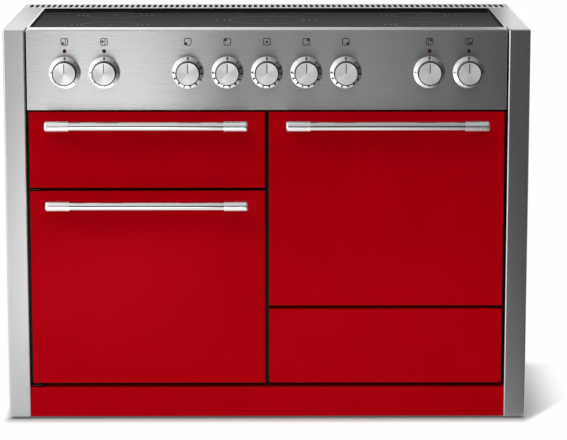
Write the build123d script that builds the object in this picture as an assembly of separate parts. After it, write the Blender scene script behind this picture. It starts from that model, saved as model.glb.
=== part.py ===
from build123d import *
import math
import os

# Free-standing induction range with two ovens, a glide-out grill and a storage drawer.
# Millimetres. X runs to the right, Y from the front to the back, Z up from the floor.

# Overall sizes and the stack of fronts, from the floor up
WIDTH = 1215
BODY_DEPTH = 610
FLOOR_GAP = 8
PLINTH_H = 70
PLINTH_GAP = 10
DOOR_H = 458
DRAWER_FRONT_H = 178
FRONT_GAP = 7.5
PANEL_GAP = 5
PANEL_H = 186.5

# Columns
PILLAR_W = 50.5
CENTRE_GAP = 9
SIDE_GAP = 6.5
PANEL_SIDE_GAP = 3

# Sheet metal and fits
SHEET = 1.5
FOLD_R = 4
FIT = 0.25
FACE_SETBACK = 2
CUT = 5

# Fronts: pressed shells with a liner in the back
DOOR_T = 30
DOOR_WALL = 1.5
EDGE_R = 3
LINER_T = 2
SEAL_T = 4
SEAL_W = 10
SEAL_CLEAR = 0.3
FRAME_T = 3
FRAME_RISE = 25

# Handles
HANDLE_L = 468
HANDLE_STAND = 46
HANDLE_DROP = 27.5
BAR_D = 21
FERRULE_D = 24.5
FERRULE_L = 56
FERRULE_R = 5.5
POST_D = 14

# Side hinges
HINGE_IN = 12
HINGE_BACK = 8
PIN_R = 4
PIN_FIT = 0.05
PIN_IN = 16
BOSS_WALL = 3
BRACKET_T = 2.5
BRACKET_W = 20

# Control panel, knobs and lamps
PANEL_TOP_D = 42
NOSE_R = 3.5
PANEL_END_R = 2
KNOB_PITCH = 91
KNOB_PAIR_X = 420
KNOB_RISE = 87
KNOB_D = 56.5
KNOB_FRONT_D = 56
KNOB_CORE_D = 49
KNOB_OUT = 30
KNOB_LIFT = 1
KNOB_CLEAR = 1.5
KNOB_EDGE_R = 1.5
DISC_D = 51
DISC_T = 0.8
MARK_W = 2.2
MARK_DEPTH = 0.6
BEZEL_D = 73.5
BEZEL_T = 4
BEZEL_EDGE_T = 1
BEZEL_LIP = 0.8
BEZEL_GAP = 1.25
SHAFT_R = 4
SHAFT_FIT = 0.05
SHAFT_CLEAR = 0.4
SWITCH_W = 40
SWITCH_D = 34
SWITCH_BORE = 22
SHAFT_END_GAP = 2
LAMP_D = 6
LAMP_RISE = 49.5
LAMP_OUT = 1.5
LAMP_EDGE_R = 1.2
LAMP_FIT = 0.05

# Hob
TRAY_H = 60
TRIM_W = 6
LEDGE_W = 14
GLASS_T = 6
GLASS_DROP = 6
GLASS_GAP = 4.5
GLASS_R = 4
COIL_X = 370
COIL_Y = 112
COIL_D = 180
BIG_COIL_D = 240
COIL_T = 14
COIL_GAP = 1
COIL_LEG_R = 6
BOARD_W = 260
BOARD_D = 220
BOARD_T = 6
SINK_H = 28
SINK_W = 60
SINK_GROOVES = 5
BOARD_X = 330

# Hob cooling fan
FAN_BOX = 124
FAN_BOX_H = 40
FAN_BORE_R = 54
FAN_TIP_GAP = 3
FAN_HUB_R = 16
FAN_SPIDER_T = 8
FAN_SPIDER_W = 12
FAN_BLADES = 7
BLADE_T = 2
BLADE_TILT = 35
BLADE_CHORD = 20
FAN_SHAFT_R = 3

# Rear vent
VENT_D = 104
VENT_H = 20
SLOT_L = 70
SLOT_W = 8.5
SLOT_PITCH = 14
VENT_MARGIN = 6

# Cavities
CAVITY_T = 1.5
INSUL_T = 20
OVEN_W = 446
OVEN_H = 372
OVEN_D = 400
GRILL_W = 446
GRILL_H = 110
GRILL_D = 400
STORE_W = 466
STORE_H = 130

# Oven fans, elements and racks
BAFFLE_W = 300
BAFFLE_D = 45
BAFFLE_SLOT_H = 210
BAFFLE_SLOT_W = 13.5
BAFFLE_SLOT_IN = 18
BAFFLE_HOLE_R = 7
BAFFLE_RING_STEP = 21
OVEN_FAN_TIP_R = 70
OVEN_FAN_HUB_R = 18
OVEN_FAN_H = 24
OVEN_FAN_BLADES = 10
MOTOR_R = 36
MOTOR_L = 55
MOTOR_BORE = 30
ELEMENT_R = 3.3
TAIL_R = 2.6
RING_R = 100
TAIL_ANGLE = 8
GRILL_ELEMENT_DROP = 18
GRILL_ELEMENT_BENDS = 5
GRILL_ELEMENT_PITCH = 34
GRILL_BEND_R = 24
LADDER_T = 2
LADDER_MARGIN = 30
LEDGE_OUT = 12
RACK_T = 4
RACK_BAR = 4
RACK_PITCH = 26
RACK_CLEAR = 1.5
RACK_END_GAP = 10
RACK_LOW = 110
RACK_HIGH = 240

# Runners, grill pan and storage tray
RUNNER_L = 380
RUNNER_T = 2
LIP_W = 10
SLIDE_CLEAR = 0.3
RAIL_W = 20
RAIL_H = 8
GRILL_RUNNER_RISE = 28
STORE_RUNNER_RISE = 40
PAN_T = 1.5
PAN_DEPTH = 26
PAN_END_GAP = 14
PAN_FLANGE_GAP = 2
TRIVET_T = 4
TRIVET_GAP = 6
TRIVET_SLOT_W = 9
TRIVET_SLOT_PITCH = 24
TRIVET_LEG = 8
TRAY_WALL = 1.5
TRAY_FLOOR_GAP = 4
TRAY_TOP_GAP = 12
STORE_D = 420

# Base, feet, rollers and back
BASE_Z = 40
BASE_FLANGE = 20
FOOT_PAD_R = 22
FOOT_PAD_T = 12
FOOT_STEM_R = 6
FOOT_COLLAR_R = 11
FOOT_COLLAR_T = 8
FOOT_STEM_TOP = 15
FOOT_CLEAR = 0.2
FOOT_IN = 37.5
FOOT_BACK = 60
ROLLER_R = 16
ROLLER_W = 22
ROLLER_GAP = 1
ROLLER_IN = 57.5
ROLLER_FROM_BACK = 60
AXLE_R = 4
AXLE_FIT = 0.05
ROLLER_PLATE = 3
BACK_INSET = 40
FLANGE_W = 28
SCREW_R = 2
SCREW_CLEAR = 0.3
SCREW_HEAD_R = 4.5
SCREW_HEAD_T = 2.5
SCREW_TIP = 4
SCREW_ROWS = 5
SCREW_MARGIN = 60
STAY_HOLE_R = 3.25
STAY_SPACING = 200
STAY_DROP = 60
TERMINAL_W = 130
TERMINAL_H = 150
TERMINAL_D = 34
TERMINAL_X = 420
TERMINAL_RISE = 90
TERMINAL_WALL = 2
TERMINAL_POST_R = 9
TERMINAL_POST_L = 22
TERMINAL_POST_PITCH = 32
GLAND_R = 13
GLAND_BORE_R = 8
GLAND_L = 24

# Heights worked out from the stack
PLINTH_TOP = FLOOR_GAP + PLINTH_H
LOW_Z = PLINTH_TOP + PLINTH_GAP
LEFT_DOOR_Z = LOW_Z
GRILL_FRONT_Z = LOW_Z + DOOR_H + FRONT_GAP
STORE_FRONT_Z = LOW_Z
RIGHT_DOOR_Z = LOW_Z + DRAWER_FRONT_H + FRONT_GAP
PANEL_Z = LOW_Z + DOOR_H + FRONT_GAP + DRAWER_FRONT_H + PANEL_GAP
HOB_Z = PANEL_Z + PANEL_H
BASE_TOP = BASE_Z + SHEET
KNOB_Z = PANEL_Z + KNOB_RISE
LAMP_Z = KNOB_Z + LAMP_RISE
GLASS_TOP = HOB_Z - GLASS_DROP
LEDGE_Z = GLASS_TOP - GLASS_T
TRAY_Z = HOB_Z - TRAY_H
VENT_Z = HOB_Z - VENT_H
RACK_LEVELS = (RACK_LOW, RACK_HIGH)

# Widths worked out from the columns
X_OUT = WIDTH / 2
X_IN = X_OUT - PILLAR_W
X_SHEET = X_OUT - SHEET
DOOR_W = (2 * X_IN - CENTRE_GAP - 2 * SIDE_GAP) / 2
COLUMN_X = CENTRE_GAP / 2 + DOOR_W / 2
PANEL_X = X_IN - PANEL_SIDE_GAP
HOB_X = X_IN - FIT
HINGE_X = COLUMN_X + DOOR_W / 2 - HINGE_IN

# Depths worked out from the front; the footprint with the handles is centred on Y = 0
FRONT_REACH = HANDLE_STAND + FERRULE_D / 2 - FACE_SETBACK
TOTAL_DEPTH = BODY_DEPTH + FRONT_REACH
Y_FRONT = FRONT_REACH - TOTAL_DEPTH / 2
Y_BACK = TOTAL_DEPTH / 2
Y_FACE = Y_FRONT + FACE_SETBACK
Y_LINER = Y_FACE + DOOR_T
FRAME_Y = Y_LINER + SEAL_CLEAR + SEAL_T
CAVITY_Y = FRAME_Y + FRAME_T
HINGE_Y = Y_FACE + HINGE_BACK
HANDLE_Y = Y_FACE - HANDLE_STAND
VENT_Y = Y_BACK - VENT_D
HOB_Y0 = Y_FACE + PANEL_TOP_D + FIT
HOB_Y1 = VENT_Y - FIT
BACK_Y1 = Y_BACK - BACK_INSET
BACK_Y0 = BACK_Y1 - SHEET
FLANGE_Y = BACK_Y0 - SHEET
RAIL_END = CAVITY_Y + RUNNER_L
FAN_Y = (HOB_Y0 + HOB_Y1) / 2
FAN_Z0 = TRAY_Z - FAN_BOX_H

# Centres of the four front openings
LEFT_OVEN = (-COLUMN_X, LEFT_DOOR_Z + DOOR_H / 2)
RIGHT_OVEN = (COLUMN_X, RIGHT_DOOR_Z + DOOR_H / 2)
GRILL = (-COLUMN_X, GRILL_FRONT_Z + DRAWER_FRONT_H / 2)
STORE = (COLUMN_X, STORE_FRONT_Z + DRAWER_FRONT_H / 2)

# Knob axes from left to right: an outer pair, a row of five, an outer pair
PAIR = (-KNOB_PITCH / 2, KNOB_PITCH / 2)
PAIR_XS = [side * KNOB_PAIR_X + step for side in (-1, 1) for step in PAIR]
KNOB_XS = sorted(PAIR_XS + [step * KNOB_PITCH for step in range(-2, 3)])


def block(x0, x1, y0, y1, z0, z1):
    """A box between two corners."""
    return Pos((x0 + x1) / 2, (y0 + y1) / 2, (z0 + z1) / 2) * Box(x1 - x0, y1 - y0, z1 - z0)


def slab(cx, cz, width, height, y0, y1):
    """A box centred on a front opening."""
    return block(cx - width / 2, cx + width / 2, y0, y1, cz - height / 2, cz + height / 2)


def side_block(side, wall_x, near, far, y0, y1, z0, z1):
    """A box measured inwards from a side wall, near and far being distances from it."""
    low, high = sorted((wall_x - side * near, wall_x - side * far))
    return block(low, high, y0, y1, z0, z1)


def rod_x(x0, x1, y, z, radius):
    """A round rod along X."""
    return Pos((x0 + x1) / 2, y, z) * Rot(0, 90, 0) * Cylinder(radius, x1 - x0)


def rod_y(x, y0, y1, z, radius):
    """A round rod along Y."""
    return Pos(x, (y0 + y1) / 2, z) * Rot(90, 0, 0) * Cylinder(radius, y1 - y0)


def rod_z(x, y, z0, z1, radius):
    """A round rod along Z."""
    return Pos(x, y, (z0 + z1) / 2) * Cylinder(radius, z1 - z0)


def tile(centre, span, pitch):
    """Evenly pitched places centred in a span."""
    count = max(1, int(span / pitch))
    return [centre + (step - (count - 1) / 2) * pitch for step in range(count)]


def save(node, *shapes):
    """Write the solids of one node."""
    solids = [solid for shape in shapes for solid in shape.solids()]
    export_step(Compound(solids) if len(solids) > 1 else solids[0], f"parts/{node}.step")


def mirrored(shape):
    """The same shape on the other side of the middle."""
    return mirror(shape, about=Plane.YZ)


# Cabinet
def folded(shape, radius):
    """Round a side panel's folds: both front uprights, the front top edge and the outer top edge."""
    front = shape.faces().sort_by(Axis.Y)[0]
    top = shape.faces().sort_by(Axis.Z)[-1]
    folds = front.edges().filter_by(Axis.Z) + front.edges().sort_by(Axis.Z)[-1:]
    return fillet(folds + top.edges().sort_by(Axis.X)[-1:], radius)


def side_panel():
    """Right side: one folded sheet with the pillar front, the top strip and a flange for the back."""
    low_z, high_z = FLOOR_GAP - CUT, HOB_Z - SHEET
    outer = folded(block(X_IN, X_OUT, Y_FRONT, Y_BACK, FLOOR_GAP, HOB_Z), FOLD_R)
    pillar = block(X_IN + SHEET, X_SHEET, Y_FRONT + SHEET, Y_BACK + CUT, low_z, high_z)
    hollow = folded(pillar, FOLD_R - SHEET)
    open_side = block(X_IN - CUT, X_SHEET - FOLD_R, FRAME_Y, Y_BACK + CUT, low_z, high_z)
    notch = block(X_IN - CUT, X_OUT + CUT, VENT_Y, Y_BACK + CUT, VENT_Z, HOB_Z + CUT)
    flange = block(X_SHEET - FLANGE_W, X_SHEET + SHEET / 2, FLANGE_Y, BACK_Y0, FLOOR_GAP, VENT_Z)
    holes = [
        rod_y(X_SHEET - FLANGE_W / 2, FLANGE_Y - CUT, BACK_Y0 + CUT, z, SCREW_R + SCREW_CLEAR)
        for z in screw_heights()
    ]
    return outer - hollow - open_side - notch + flange - holes


def screw_heights():
    """Heights of the screws up the back panel."""
    low, high = BASE_TOP + SCREW_MARGIN, VENT_Z - SCREW_MARGIN
    return [low + (high - low) * row / (SCREW_ROWS - 1) for row in range(SCREW_ROWS)]


def base_tray():
    """Bottom sheet with upturned sides and holes for the front feet."""
    y1 = FLANGE_Y - FIT
    tray = block(-X_SHEET, X_SHEET, FRAME_Y, y1, BASE_Z, BASE_TOP)
    for side in (-1, 1):
        z1 = BASE_TOP + BASE_FLANGE
        tray += side_block(side, side * X_SHEET, 0, SHEET, CAVITY_Y + FIT, y1, BASE_Z, z1)
    for x, y in foot_places():
        tray -= rod_z(x, y, BASE_Z - CUT, BASE_TOP + CUT, FOOT_STEM_R + FOOT_CLEAR)
    return tray


def foot_places():
    """Where the two front feet stand."""
    return [(side * (X_IN - FOOT_IN), CAVITY_Y + FOOT_BACK) for side in (-1, 1)]


def back_panel():
    """Back sheet with screw holes and two holes for a wall stay."""
    panel = block(FIT - X_SHEET, X_SHEET - FIT, BACK_Y0, BACK_Y1, BASE_Z, VENT_Z - FIT)
    holes = [
        rod_y(side * (X_SHEET - FLANGE_W / 2), BACK_Y0 - CUT, BACK_Y1 + CUT, z, SCREW_R + SCREW_CLEAR)
        for side in (-1, 1)
        for z in screw_heights()
    ]
    stay_z = VENT_Z - STAY_DROP
    holes += [
        rod_y(side * STAY_SPACING / 2, BACK_Y0 - CUT, BACK_Y1 + CUT, stay_z, STAY_HOLE_R)
        for side in (-1, 1)
    ]
    return panel - holes


def back_screws():
    """Pan-head screws through the back sheet into the side flanges."""
    screws = []
    for side in (-1, 1):
        x = side * (X_SHEET - FLANGE_W / 2)
        for z in screw_heights():
            head = rod_y(x, BACK_Y1, BACK_Y1 + SCREW_HEAD_T, z, SCREW_HEAD_R)
            screws.append(head + rod_y(x, FLANGE_Y - SCREW_TIP, BACK_Y1 + SCREW_HEAD_T / 2, z, SCREW_R))
    return screws


def plinth():
    """Front kick panel: a face with a top fold that reaches the front frame."""
    face = block(-HOB_X, HOB_X, Y_FACE, Y_FACE + SHEET, FLOOR_GAP, PLINTH_TOP)
    fold = block(-HOB_X, HOB_X, Y_FACE + SHEET / 2, FRAME_Y, PLINTH_TOP - SHEET, PLINTH_TOP)
    return face + fold


def front_frame():
    """Black plate behind the fronts with the four openings."""
    half = X_SHEET - FIT
    frame = block(-half, half, FRAME_Y, CAVITY_Y, BASE_TOP, PANEL_Z + FRAME_RISE)
    for centre, width, height in openings():
        frame -= slab(*centre, width, height, FRAME_Y - CUT, CAVITY_Y + CUT)
    return frame


def openings():
    """Centre, width and height of each opening in the front frame."""
    ovens = [(LEFT_OVEN, OVEN_W, OVEN_H), (RIGHT_OVEN, OVEN_W, OVEN_H)]
    return ovens + [(GRILL, GRILL_W, GRILL_H), (STORE, STORE_W, STORE_H)]


def front_foot(x, y):
    """Levelling foot: pad, stem and the collar that carries the base."""
    pad = rod_z(x, y, 0, FOOT_PAD_T, FOOT_PAD_R)
    stem = rod_z(x, y, FOOT_PAD_T / 2, BASE_TOP + FOOT_STEM_TOP, FOOT_STEM_R)
    return pad + stem + rod_z(x, y, BASE_Z - FOOT_COLLAR_T, BASE_Z, FOOT_COLLAR_R)


ROLLER_X = X_IN - ROLLER_IN
ROLLER_Y = FLANGE_Y - ROLLER_FROM_BACK
PLATE_IN = ROLLER_W / 2 + ROLLER_GAP


def roller(side):
    """Rear roller with its stub axle."""
    x = side * ROLLER_X
    reach = PLATE_IN + ROLLER_PLATE
    wheel = rod_x(x - ROLLER_W / 2, x + ROLLER_W / 2, ROLLER_Y, ROLLER_R, ROLLER_R)
    return wheel + rod_x(x - reach, x + reach, ROLLER_Y, ROLLER_R, AXLE_R)


def roller_bracket(side):
    """Bent bracket under the base with a hole each side for the axle."""
    x = side * ROLLER_X
    reach = PLATE_IN + ROLLER_PLATE
    y0, y1 = ROLLER_Y - ROLLER_R, ROLLER_Y + ROLLER_R
    bracket = block(x - reach, x + reach, y0, y1, ROLLER_R - 2 * AXLE_R, BASE_Z)
    bracket -= block(x - PLATE_IN, x + PLATE_IN, y0 - CUT, y1 + CUT, 0, BASE_Z - ROLLER_PLATE)
    return bracket - rod_x(x - reach - CUT, x + reach + CUT, ROLLER_Y, ROLLER_R, AXLE_R + AXLE_FIT)


def terminal_box():
    """Supply connection on the back: cover, three posts and the gland below."""
    x0, x1 = TERMINAL_X - TERMINAL_W / 2, TERMINAL_X + TERMINAL_W / 2
    z0 = BASE_TOP + TERMINAL_RISE
    z1 = z0 + TERMINAL_H
    wall = TERMINAL_WALL
    cover = block(x0, x1, BACK_Y1, BACK_Y1 + TERMINAL_D, z0, z1)
    cover -= block(x0 + wall, x1 - wall, BACK_Y1 - CUT, BACK_Y1 + TERMINAL_D - wall, z0 + wall, z1 - wall)
    gland_y = BACK_Y1 + TERMINAL_D / 2
    cover -= rod_z(TERMINAL_X, gland_y, z0 - CUT, z0 + wall + CUT, GLAND_BORE_R)
    gland = rod_z(TERMINAL_X, gland_y, z0 - GLAND_L, z0, GLAND_R)
    gland -= rod_z(TERMINAL_X, gland_y, z0 - GLAND_L - CUT, z0 + CUT, GLAND_BORE_R)
    posts = [
        rod_y(TERMINAL_X + step * TERMINAL_POST_PITCH, BACK_Y1, BACK_Y1 + TERMINAL_POST_L,
              (z0 + z1) / 2, TERMINAL_POST_R)
        for step in (-1, 0, 1)
    ]
    return [cover, gland] + posts


# Fronts
def front_shell(centre, height):
    """Pressed enamel front, open at the back."""
    cx, cz = centre
    outer = slab(cx, cz, DOOR_W, height, Y_FACE, Y_LINER)
    outer = fillet(outer.faces().sort_by(Axis.Y)[0].edges(), EDGE_R)
    inside = slab(cx, cz, DOOR_W - 2 * DOOR_WALL, height - 2 * DOOR_WALL, Y_FACE + DOOR_WALL, Y_LINER + CUT)
    return outer - inside


def front_liner(centre, height):
    """Flat pan that closes the back of a front."""
    gap = 2 * (DOOR_WALL + FIT)
    return slab(*centre, DOOR_W - gap, height - gap, Y_LINER - LINER_T, Y_LINER)


def handle(centre, height):
    """Polished bar between two ferrules, each on a post that stands on the front."""
    cx = centre[0]
    z = centre[1] + height / 2 - HANDLE_DROP
    half = HANDLE_L / 2
    inner = half - FERRULE_L
    pieces = [rod_x(cx - inner, cx + inner, HANDLE_Y, z, BAR_D / 2)]
    for side in (-1, 1):
        low, high = sorted((cx + side * inner, cx + side * half))
        ferrule = rod_x(low, high, HANDLE_Y, z, FERRULE_D / 2)
        rims = ferrule.edges().filter_by(GeomType.CIRCLE).sort_by(Axis.X)
        ferrule = fillet(rims[-1] if side > 0 else rims[0], FERRULE_R)
        post_x = cx + side * (half - FERRULE_L / 2)
        pieces.append(ferrule + rod_y(post_x, HANDLE_Y, Y_FACE, z, POST_D / 2))
    return pieces


def door_panel(side, centre, low_z):
    """Oven door front with a bored boss at the top and bottom for the hinge pins."""
    shell = front_shell(centre, DOOR_H)
    x = side * HINGE_X
    boss_r = PIN_R + BOSS_WALL
    boss_l = PIN_IN + 2 * BOSS_WALL
    high_z = low_z + DOOR_H
    shell += rod_z(x, HINGE_Y, low_z + DOOR_WALL / 2, low_z + boss_l, boss_r)
    shell += rod_z(x, HINGE_Y, high_z - boss_l, high_z - DOOR_WALL / 2, boss_r)
    bore_r = PIN_R + PIN_FIT
    bore_l = PIN_IN + BOSS_WALL
    shell -= rod_z(x, HINGE_Y, low_z - CUT, low_z + bore_l, bore_r)
    return shell - rod_z(x, HINGE_Y, high_z - bore_l, high_z + CUT, bore_r)


def hinge_bracket(side, edge_z, gap, up):
    """Plate from the front frame into the gap beside a door edge, with a pin into the door."""
    x = side * HINGE_X
    middle = edge_z + up * gap / 2
    y0 = HINGE_Y - PIN_R - BOSS_WALL
    half_w, half_t = BRACKET_W / 2, BRACKET_T / 2
    plate = block(x - half_w, x + half_w, y0, FRAME_Y, middle - half_t, middle + half_t)
    low, high = sorted((middle, edge_z - up * PIN_IN))
    return plate + rod_z(x, HINGE_Y, low, high, PIN_R)


def hinge_brackets():
    """Top and bottom brackets of both doors."""
    return [
        hinge_bracket(-1, LEFT_DOOR_Z, PLINTH_GAP, -1),
        hinge_bracket(-1, LEFT_DOOR_Z + DOOR_H, FRONT_GAP, 1),
        hinge_bracket(1, RIGHT_DOOR_Z, FRONT_GAP, -1),
        hinge_bracket(1, RIGHT_DOOR_Z + DOOR_H, PANEL_GAP, 1),
    ]


def door_seal(centre):
    """Gasket on the front frame round an oven opening."""
    outer = slab(*centre, OVEN_W + 2 * SEAL_W, OVEN_H + 2 * SEAL_W, FRAME_Y - SEAL_T, FRAME_Y)
    return outer - slab(*centre, OVEN_W, OVEN_H, FRAME_Y - SEAL_T - CUT, FRAME_Y + CUT)


# Control panel
def fascia(x, y0, y1, z0, z1, nose_r, end_r):
    """A panel block with a rounded nose along the top front edge and rounded ends."""
    shape = block(-x, x, y0, y1, z0, z1)
    nose = shape.edges().filter_by(Axis.X).group_by(Axis.Y)[0].sort_by(Axis.Z)[-1]
    shape = fillet(nose, nose_r)
    rims = []
    for end in (shape.faces().sort_by(Axis.X)[0], shape.faces().sort_by(Axis.X)[-1]):
        rims += end.edges().sort_by(Axis.Y)[:-1].sort_by(Axis.Z)[1:]
    return fillet(rims, end_r)


def control_panel():
    """Folded fascia: a rounded nose and ends, a flange to the hob and a fold to the front frame."""
    y1 = Y_FACE + PANEL_TOP_D
    outer = fascia(PANEL_X, Y_FACE, y1, PANEL_Z, HOB_Z, NOSE_R, PANEL_END_R)
    inside = fascia(PANEL_X - SHEET, Y_FACE + SHEET, y1 + CUT, PANEL_Z + SHEET, HOB_Z - SHEET,
                    NOSE_R - SHEET, PANEL_END_R - SHEET)
    frame_top = PANEL_Z + FRAME_RISE + FIT
    over_frame = block(-PANEL_X - CUT, PANEL_X + CUT, FRAME_Y, y1 + CUT, PANEL_Z - CUT, frame_top)
    panel = outer - inside - over_frame
    holes = [rod_y(x, Y_FACE - CUT, Y_FACE + CUT, KNOB_Z, SHAFT_R + SHAFT_CLEAR) for x in KNOB_XS]
    holes += [rod_y(x, Y_FACE - CUT, Y_FACE + CUT, LAMP_Z, LAMP_D / 2 + LAMP_FIT) for x in PAIR_XS]
    return panel - holes


def knob(x):
    """Knob: a body over the bezel, a core inside it, a faced disc with a cut pointer line, a shaft."""
    y_front = Y_FACE - KNOB_OUT
    y_rear = Y_FACE - BEZEL_T - KNOB_CLEAR
    length = y_rear - y_front - DISC_T
    middle = y_rear - length / 2
    body = Cone(KNOB_D / 2, KNOB_FRONT_D / 2, length)
    body = fillet(body.faces().sort_by(Axis.Z)[-1].edges(), KNOB_EDGE_R)
    body = Pos(x, middle, KNOB_Z) * Rot(90, 0, 0) * body
    body += rod_y(x, middle, Y_FACE - KNOB_LIFT, KNOB_Z, KNOB_CORE_D / 2)
    body += rod_y(x, y_front, middle, KNOB_Z, DISC_D / 2)
    half = MARK_W / 2
    body -= block(x - half, x + half, y_front - CUT, y_front + MARK_DEPTH, KNOB_Z, KNOB_Z + KNOB_D)
    shaft_end = Y_FACE + SHEET + SWITCH_BORE - SHAFT_END_GAP
    return body + rod_y(x, Y_FACE - KNOB_OUT / 2, shaft_end, KNOB_Z, SHAFT_R)


def bezel(x):
    """Polished ring on the panel round a knob, sloping up from a thin rim to a narrow lip."""
    bore_r = KNOB_CORE_D / 2 + BEZEL_GAP
    rise = BEZEL_T - BEZEL_EDGE_T
    slope = Pos(x, Y_FACE - BEZEL_EDGE_T - rise / 2, KNOB_Z) * Rot(90, 0, 0)
    ring = rod_y(x, Y_FACE - BEZEL_EDGE_T, Y_FACE, KNOB_Z, BEZEL_D / 2)
    ring += slope * Cone(BEZEL_D / 2, bore_r + BEZEL_LIP, rise)
    return ring - rod_y(x, Y_FACE - BEZEL_T - CUT, Y_FACE + CUT, KNOB_Z, bore_r)


def switch(x):
    """Control behind the panel, bored for the knob's shaft."""
    y0 = Y_FACE + SHEET
    body = slab(x, KNOB_Z, SWITCH_W, SWITCH_W, y0, y0 + SWITCH_D)
    return body - rod_y(x, y0 - CUT, y0 + SWITCH_BORE, KNOB_Z, SHAFT_R + SHAFT_FIT)


def lamp(x):
    """Indicator lens through the panel."""
    lens = rod_y(x, Y_FACE - LAMP_OUT, Y_FACE + SHEET, LAMP_Z, LAMP_D / 2)
    return fillet(lens.faces().sort_by(Axis.Y)[0].edges(), LAMP_EDGE_R)


# Hob
def hob_tray():
    """Pan under the glass: a trim round it, a ledge that carries it and a sheet pan with an air hole."""

    def inset(margin, z0, z1):
        return block(margin - HOB_X, HOB_X - margin, HOB_Y0 + margin, HOB_Y1 - margin, z0, z1)

    pan_wall = TRIM_W + LEDGE_W
    tray = inset(0, LEDGE_Z - SHEET, HOB_Z) + inset(pan_wall - SHEET, TRAY_Z, LEDGE_Z)
    tray -= inset(TRIM_W, LEDGE_Z, HOB_Z + CUT)
    tray -= inset(pan_wall, TRAY_Z + SHEET, LEDGE_Z + CUT)
    return tray - rod_z(0, FAN_Y, TRAY_Z - CUT, TRAY_Z + SHEET + CUT, FAN_BORE_R)


def hob_glass():
    """Flat ceramic glass on the ledge."""
    margin = TRIM_W + GLASS_GAP
    glass = block(margin - HOB_X, HOB_X - margin, HOB_Y0 + margin, HOB_Y1 - margin, LEDGE_Z, GLASS_TOP)
    return fillet(glass.edges().filter_by(Axis.Z), GLASS_R)


def coil(x, y, diameter):
    """Induction coil on three legs that stand in the pan."""
    z1 = LEDGE_Z - COIL_GAP
    disc = rod_z(x, y, z1 - COIL_T, z1, diameter / 2)
    for turn in range(3):
        angle = 2 * math.pi * turn / 3
        leg_x = x + math.cos(angle) * diameter / 3
        leg_y = y + math.sin(angle) * diameter / 3
        disc += rod_z(leg_x, leg_y, TRAY_Z + SHEET, z1 - COIL_T / 2, COIL_LEG_R)
    return disc


def coils():
    """Two coils each side and a large one in the middle."""
    cy = (HOB_Y0 + HOB_Y1) / 2
    corners = [(sx * COIL_X, cy + sy * COIL_Y) for sx in (-1, 1) for sy in (-1, 1)]
    return [coil(x, y, COIL_D) for x, y in corners] + [coil(0, cy, BIG_COIL_D)]


def power_board(side):
    """Power board under the pan with a finned heat sink."""
    x, y = side * BOARD_X, (HOB_Y0 + HOB_Y1) / 2
    half_d = BOARD_D / 2
    board = block(x - BOARD_W / 2, x + BOARD_W / 2, y - half_d, y + half_d, TRAY_Z - BOARD_T, TRAY_Z)
    z0, z1 = TRAY_Z - BOARD_T - SINK_H, TRAY_Z - BOARD_T / 2
    board += block(x - SINK_W / 2, x + SINK_W / 2, y - half_d, y + half_d, z0, z1)
    fin = SINK_W / (2 * SINK_GROOVES + 1)
    y0, y1 = y - half_d - CUT, y + half_d + CUT
    grooves = [
        block(groove_x - fin / 2, groove_x + fin / 2, y0, y1, z0 - CUT, z1 - 2 * BOARD_T)
        for groove_x in tile(x, SINK_W, 2 * fin)
    ]
    return board - grooves


def hob_fan_housing():
    """Square duct under the pan with a spider that carries the rotor."""
    half = FAN_BOX / 2
    duct = block(-half, half, FAN_Y - half, FAN_Y + half, FAN_Z0, TRAY_Z)
    duct -= rod_z(0, FAN_Y, FAN_Z0 - CUT, TRAY_Z + CUT, FAN_BORE_R)
    z1 = FAN_Z0 + FAN_SPIDER_T
    arm = FAN_SPIDER_W / 2
    spider = block(-half, half, FAN_Y - arm, FAN_Y + arm, FAN_Z0, z1)
    spider += block(-arm, arm, FAN_Y - half, FAN_Y + half, FAN_Z0, z1)
    spider += rod_z(0, FAN_Y, FAN_Z0, z1, FAN_HUB_R)
    return duct + spider - rod_z(0, FAN_Y, FAN_Z0 - CUT, z1 + CUT, FAN_SHAFT_R + SHAFT_FIT)


def hob_fan():
    """Axial rotor: a hub, tilted blades and a shaft in the spider."""
    z0 = FAN_Z0 + FAN_SPIDER_T + SLIDE_CLEAR
    z1 = TRAY_Z - FAN_TIP_GAP
    tip = FAN_BORE_R - FAN_TIP_GAP
    rotor = rod_z(0, FAN_Y, z0, z1, FAN_HUB_R)
    envelope = rod_z(0, FAN_Y, z0 + FAN_TIP_GAP, z1, tip)
    length = tip - FAN_HUB_R / 2 + FAN_TIP_GAP
    for turn in range(FAN_BLADES):
        blade = Rot(BLADE_TILT, 0, 0) * Box(length, BLADE_T, BLADE_CHORD)
        blade = Pos(FAN_HUB_R / 2 + length / 2, 0, 0) * blade
        turned = Pos(0, FAN_Y, (z0 + z1) / 2) * Rot(0, 0, 360 * turn / FAN_BLADES) * blade
        rotor += turned & envelope
    return rotor + rod_z(0, FAN_Y, FAN_Z0, z0 + FAN_TIP_GAP, FAN_SHAFT_R)


def rear_vent():
    """Slotted cap across the back of the hob."""
    cap = block(-X_OUT, X_OUT, VENT_Y, Y_BACK, VENT_Z, HOB_Z)
    cap = fillet(cap.faces().sort_by(Axis.Z)[-1].edges().sort_by(Axis.Y)[1:], FOLD_R)
    hollow = block(-X_SHEET, X_SHEET, VENT_Y + SHEET, Y_BACK - SHEET, VENT_Z - CUT, HOB_Z - SHEET)
    hollow = fillet(hollow.faces().sort_by(Axis.Z)[-1].edges().sort_by(Axis.Y)[1:], FOLD_R - SHEET)
    cap -= hollow
    y = (VENT_Y + Y_BACK) / 2
    places = tile(0, WIDTH - 2 * VENT_MARGIN, SLOT_PITCH)
    slots = Sketch() + [Pos(x, y) * SlotOverall(SLOT_L, SLOT_W, rotation=90) for x in places]
    return cap - extrude(Pos(0, 0, HOB_Z - SHEET - CUT) * slots, SHEET + 2 * CUT)


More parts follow.
